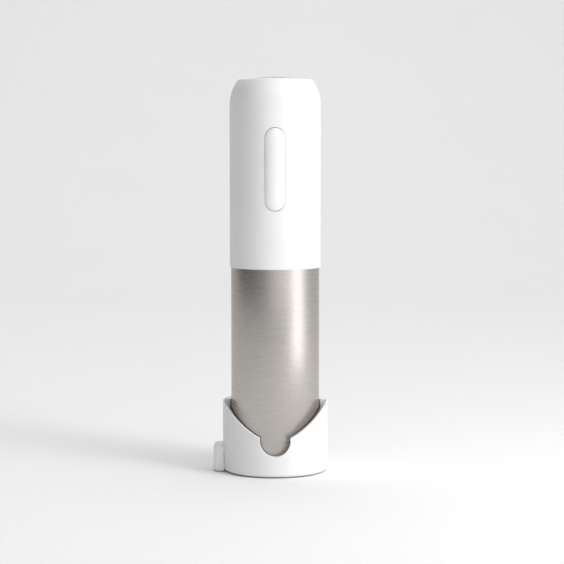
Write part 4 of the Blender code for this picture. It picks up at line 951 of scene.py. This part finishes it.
def make_base():
    """The round base: its rim dips at the front down to a notch, and the socket's block is at the left."""
    foot_round = 2.0 * mm
    edge = arc((base_radius - foot_round, base_bottom + foot_round), foot_round, -90, 0, 10)
    corners = [
        (base_cavity, base_bottom, 0.15 * mm),
        *((r, h, 0) for r, h in edge),
        *((base_radius, h, 0) for h in heights_between(base_bottom + foot_round, base_rim, 12)),
        (base_radius, base_rim, 0.45 * mm),
        (base_well, base_rim, 0.45 * mm),
        (base_well, ledge_height, 0.4 * mm),
        (ledge_radius, ledge_height, 0.3 * mm),
        (ledge_radius, base_floor_top, 0.3 * mm),
        (0, base_floor_top, 0),
        (0, base_floor_under, 0),
        (base_cavity, base_floor_under, 0.3 * mm),
    ]
    base = piece("base_body", spun(eased(corners, 4)), WHITE)
    dip = facing_front(slab(dip_outline(), 0, dip_back + base_radius + 5 * mm), dip_back, 0)
    block_top, block_half = 16.5 * mm, 8.0 * mm
    inner_end = -(base_well + mm)
    loop = round_corners(jack_face, inner_end, -block_half, block_half, 3.0 * mm)
    block = slab(loop, base_bottom, block_top)
    top_edges = [e for e in block.edges if all(abs(v.co.z - block_top) < 1e-9 for v in e.verts)]
    bevelled(block, top_edges, 2.0 * mm, 6)
    jack_low, jack_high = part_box("charge_jack")
    tongue_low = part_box("base_plate")[0].x
    plate_top = high_of("base_plate")
    socket_height = (jack_low.z + jack_high.z) / 2
    jack_half = (jack_high.y - jack_low.y) / 2 + seam
    tongue_half = 6.7 * mm + seam
    passage_end = -20 * mm
    plug_hole, contact_hole, boss = 2.6 * mm, 1.85 * mm, 3.2 * mm
    cutters = [
        dip,
        box((tongue_low - seam, -tongue_half, -mm), (passage_end, tongue_half, plate_top + seam)),
        box((tongue_low, -jack_half, mm), (inner_end, jack_half, jack_high.z + seam)),
        box((inner_end - mm, -jack_half, mm), (passage_end, jack_half, base_floor_under - 0.4 * mm)),
        lying_along_x(rod(plug_hole, 0, 4 * mm), jack_face - mm, 0, socket_height),
    ]
    for side in (-1, 1):
        cutters.append(rod(contact_hole, base_floor_under - mm, base_floor_top + mm, (side * contact_x, 0)))
    bosses = [block]
    for k in range(3):
        screw_low, screw_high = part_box(f"base_screw_{k + 1}")
        middle = (screw_low + screw_high) / 2
        bosses.append(rod(boss, plate_top + seam, base_floor_under + 0.8 * mm, (middle.x, middle.y)))
        cutters.append(rod(screw_hole, plate_top, base_floor_under, (middle.x, middle.y)))
    cut_and_joined(base, cutters, bosses)

    def on_rim(point):
        distance = math.hypot(point.x, point.y)
        skin = 0.6 * mm
        on_wall = distance > base_radius - skin or abs(distance - base_well) < skin
        return on_wall and point.y < dip_back - 0.05 * mm and point.z > notch_height - notch_radius - mm

    eased_cuts(base, on_rim, 0.4 * mm)
    fitted(base, "base", "white_shell", "base_shell")


def make_foot():
    """The rubber foot: a thin disc with three shallow rings moulded in, so that it grips."""
    radius, top = radius_of("foot_pad"), high_of("foot_pad")
    mouth, root, depth = 0.5 * mm, 0.3 * mm, 0.35 * mm
    corners = [(0, 0, 0)]
    for k in range(1, 4):
        groove = radius * (k / 4 + 0.05)
        corners += [(groove - mouth, 0, 0.1 * mm), (groove - root, depth, 0.05 * mm)]
        corners += [(groove + root, depth, 0.05 * mm), (groove + mouth, 0, 0.1 * mm)]
    corners += [(radius, 0, 0.25 * mm), (radius, top, 0.15 * mm), (0, top, 0)]
    foot = piece("rubber_foot", spun(eased(corners)), RUBBER)
    fitted(foot, "base", "pad_rubber", "foot_pad")


def make_pins():
    """The base's sprung contact pins, with round tips."""
    for side, name in ((-1, "left"), (1, "right")):
        low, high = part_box(f"contact_pin_{name}")
        radius = 1.6 * mm
        bore, bore_top = radius - 0.45 * mm, high.z - 0.9 * mm
        collar = (high.x - low.x) / 2
        collar_top = base_floor_under - seam
        flatness = 0.6
        tip = arc((0, high.z - radius * 0.8), radius, 20, 90, 10)
        tip = [(r, high.z - (high.z - h) * flatness) for r, h in tip]
        corners = [
            (bore, low.z, 0.05 * mm),
            (collar, low.z, 0.15 * mm),
            (collar, collar_top, 0.1 * mm),
            (radius, collar_top, 0),
            (radius, high.z - 0.55 * mm, 0),
            *((r, min(h, high.z), 0) for r, h in tip[1:-1]),
            (0, high.z, 0),
            (0, bore_top, 0),
            (bore, bore_top, 0),
        ]
        pin = piece(f"pin_{name}", spun(eased(corners), SMALL, (side * contact_x, 0)), BRASS)
        fitted(pin, f"contact_{name}", "brass", f"contact_pin_{name}")


def make_socket():
    """The charging socket: a black block with a round bore and a pin standing in it."""
    low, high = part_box("charge_jack")
    middle = (low.z + high.z) / 2
    depth = (high.x - low.x) * 0.75
    block = piece("socket_block", rounded(box(low, high), 0.25 * mm), BLACK)
    bore = lying_along_x(rod(1.9 * mm, -mm, depth), low.x, 0, middle)
    thick, tip, root = 0.65 * mm, mm, depth + mm
    pin = spun(eased([(0, tip, 0), (thick, tip, 0.3 * mm), (thick, root, 0), (0, root, 0)]), SMALL)
    cut_and_joined(block, [bore])
    cut_and_joined(block, [], [lying_along_x(pin, low.x, 0, middle)])
    smoothed(block.data)
    fitted(block, "base", "black_plastic", "charge_jack")


# ---------------------------------------------------------------- studio and camera


def make_floor():
    """A pale sweep: a level floor that curves up far behind the object."""
    finish = Finish("studio paper", (0.86, 0.86, 0.86), 0.9)
    finish.toned(finish.noise(6.0, 2.0), (0.995, 1.005))
    finish.bumped(finish.noise(900.0, 3.0), 0.02 * mm)
    front, level_end, bend, top, half_width = -4.0, 1.2, 1.4, 5.0, 5.0  # metres
    profile = [(front, 0.0), (level_end, 0.0)]
    profile += arc((level_end, bend), bend, -84, 0, 14)
    profile.append((level_end + bend, top))
    shape = bmesh.new()
    corners = [shape.verts.new((-half_width, y, z)) for y, z in profile]
    edges = [shape.edges.new(pair) for pair in zip(corners, corners[1:])]
    swept = bmesh.ops.extrude_edge_only(shape, edges=edges)
    moved = [v for v in swept["geom"] if isinstance(v, bmesh.types.BMVert)]
    bmesh.ops.translate(shape, verts=moved, vec=(2 * half_width, 0, 0))
    bmesh.ops.reverse_faces(shape, faces=shape.faces)
    floor = piece("studio_floor", shape, finish.material)


def soft_light(name, azimuth, height, distance, size, power, aim, tint=(1.0, 1.0, 1.0)):
    """An area light aimed at a point. The azimuth runs from the front towards the right, in degrees."""
    light = bpy.data.lights.new(name, "AREA")
    light.shape = "RECTANGLE"
    light.size, light.size_y = size
    light.energy = power
    light.color = tint
    turn = math.radians(azimuth)
    place = Vector((distance * math.sin(turn), -distance * math.cos(turn), height))
    lamp = bpy.data.objects.new(name, light)
    lamp.location = place
    lamp.rotation_euler = (Vector(aim) - place).to_track_quat("-Z", "Y").to_euler()
    bpy.context.scene.collection.objects.link(lamp)


def fill_air():
    """A soft surround, whose brightness goes from left to right: dim, then brightest past the middle."""
    world = bpy.data.worlds.new("studio air")
    world.use_nodes = True
    tree = world.node_tree
    direction = tree.nodes.new("ShaderNodeTexCoord")
    across = tree.nodes.new("ShaderNodeSeparateXYZ")
    share = tree.nodes.new("ShaderNodeMapRange")
    share.inputs["From Min"].default_value = -1.0
    tones = tree.nodes.new("ShaderNodeValToRGB")
    ramp = tones.color_ramp
    brightness = ((0.0, 0.06), (0.25, 0.15), (0.5, 0.48), (0.75, 0.62), (1.0, 0.25))  # (place, tone)
    while len(ramp.elements) < len(brightness):
        ramp.elements.new(0.5)
    for stop, (place, tone) in zip(ramp.elements, brightness):
        stop.position = place
        stop.color = (tone, tone, tone, 1.0)
    tree.nodes["Background"].inputs["Strength"].default_value = 2.0
    tree.links.new(direction.outputs["Generated"], across.inputs["Vector"])
    tree.links.new(across.outputs["X"], share.inputs["Value"])
    tree.links.new(share.outputs["Result"], tones.inputs["Fac"])
    tree.links.new(tones.outputs["Color"], tree.nodes["Background"].inputs["Color"])
    bpy.context.scene.world = world


def light_studio():
    """Two key panels at the right, a wide one overhead for the backdrop, and the surround."""
    fill_air()
    warm = (1.0, 0.997, 0.99)
    soft_light(
        "tall key panel", azimuth=60.0, height=0.45, distance=0.6, size=(0.33, 0.9), power=2.1,
        aim=(0, 0, 0.45), tint=warm,
    )
    soft_light(
        "high key panel", azimuth=50.0, height=0.85, distance=1.2, size=(0.35, 0.35), power=3.8,
        aim=(0, 0, 0.1), tint=warm,
    )
    soft_light(
        "overhead panel", azimuth=180.0, height=1.7, distance=1.0, size=(1.6, 1.6), power=6.6,
        aim=(0, 0.9, 0),
    )
    bpy.context.scene.view_settings.view_transform = "Standard"


def place_camera():
    """A long lens in front of the object, a little above its middle, that looks slightly down."""
    aside, distance, height = 4.15 * mm, 1.1, 0.200
    down = 4.41  # degrees
    camera = bpy.data.cameras.new("camera")
    camera.sensor_width = 36.0
    camera.lens = 115.8
    camera.clip_end = 50.0
    view = bpy.data.objects.new("camera", camera)
    view.location = (aside, -distance, height)
    view.rotation_euler = (math.radians(90.0 - down), 0.0, 0.0)
    bpy.context.scene.collection.objects.link(view)
    bpy.context.scene.camera = view


finish_inner_pieces()
make_housing()
make_crown_cap()
make_sleeve()
make_button()
make_mouth_ring()
make_ring_contacts()
make_barrel()
make_worm()
make_chuck()
make_base()
make_foot()
make_pins()
make_socket()
make_floor()
light_studio()
place_camera()
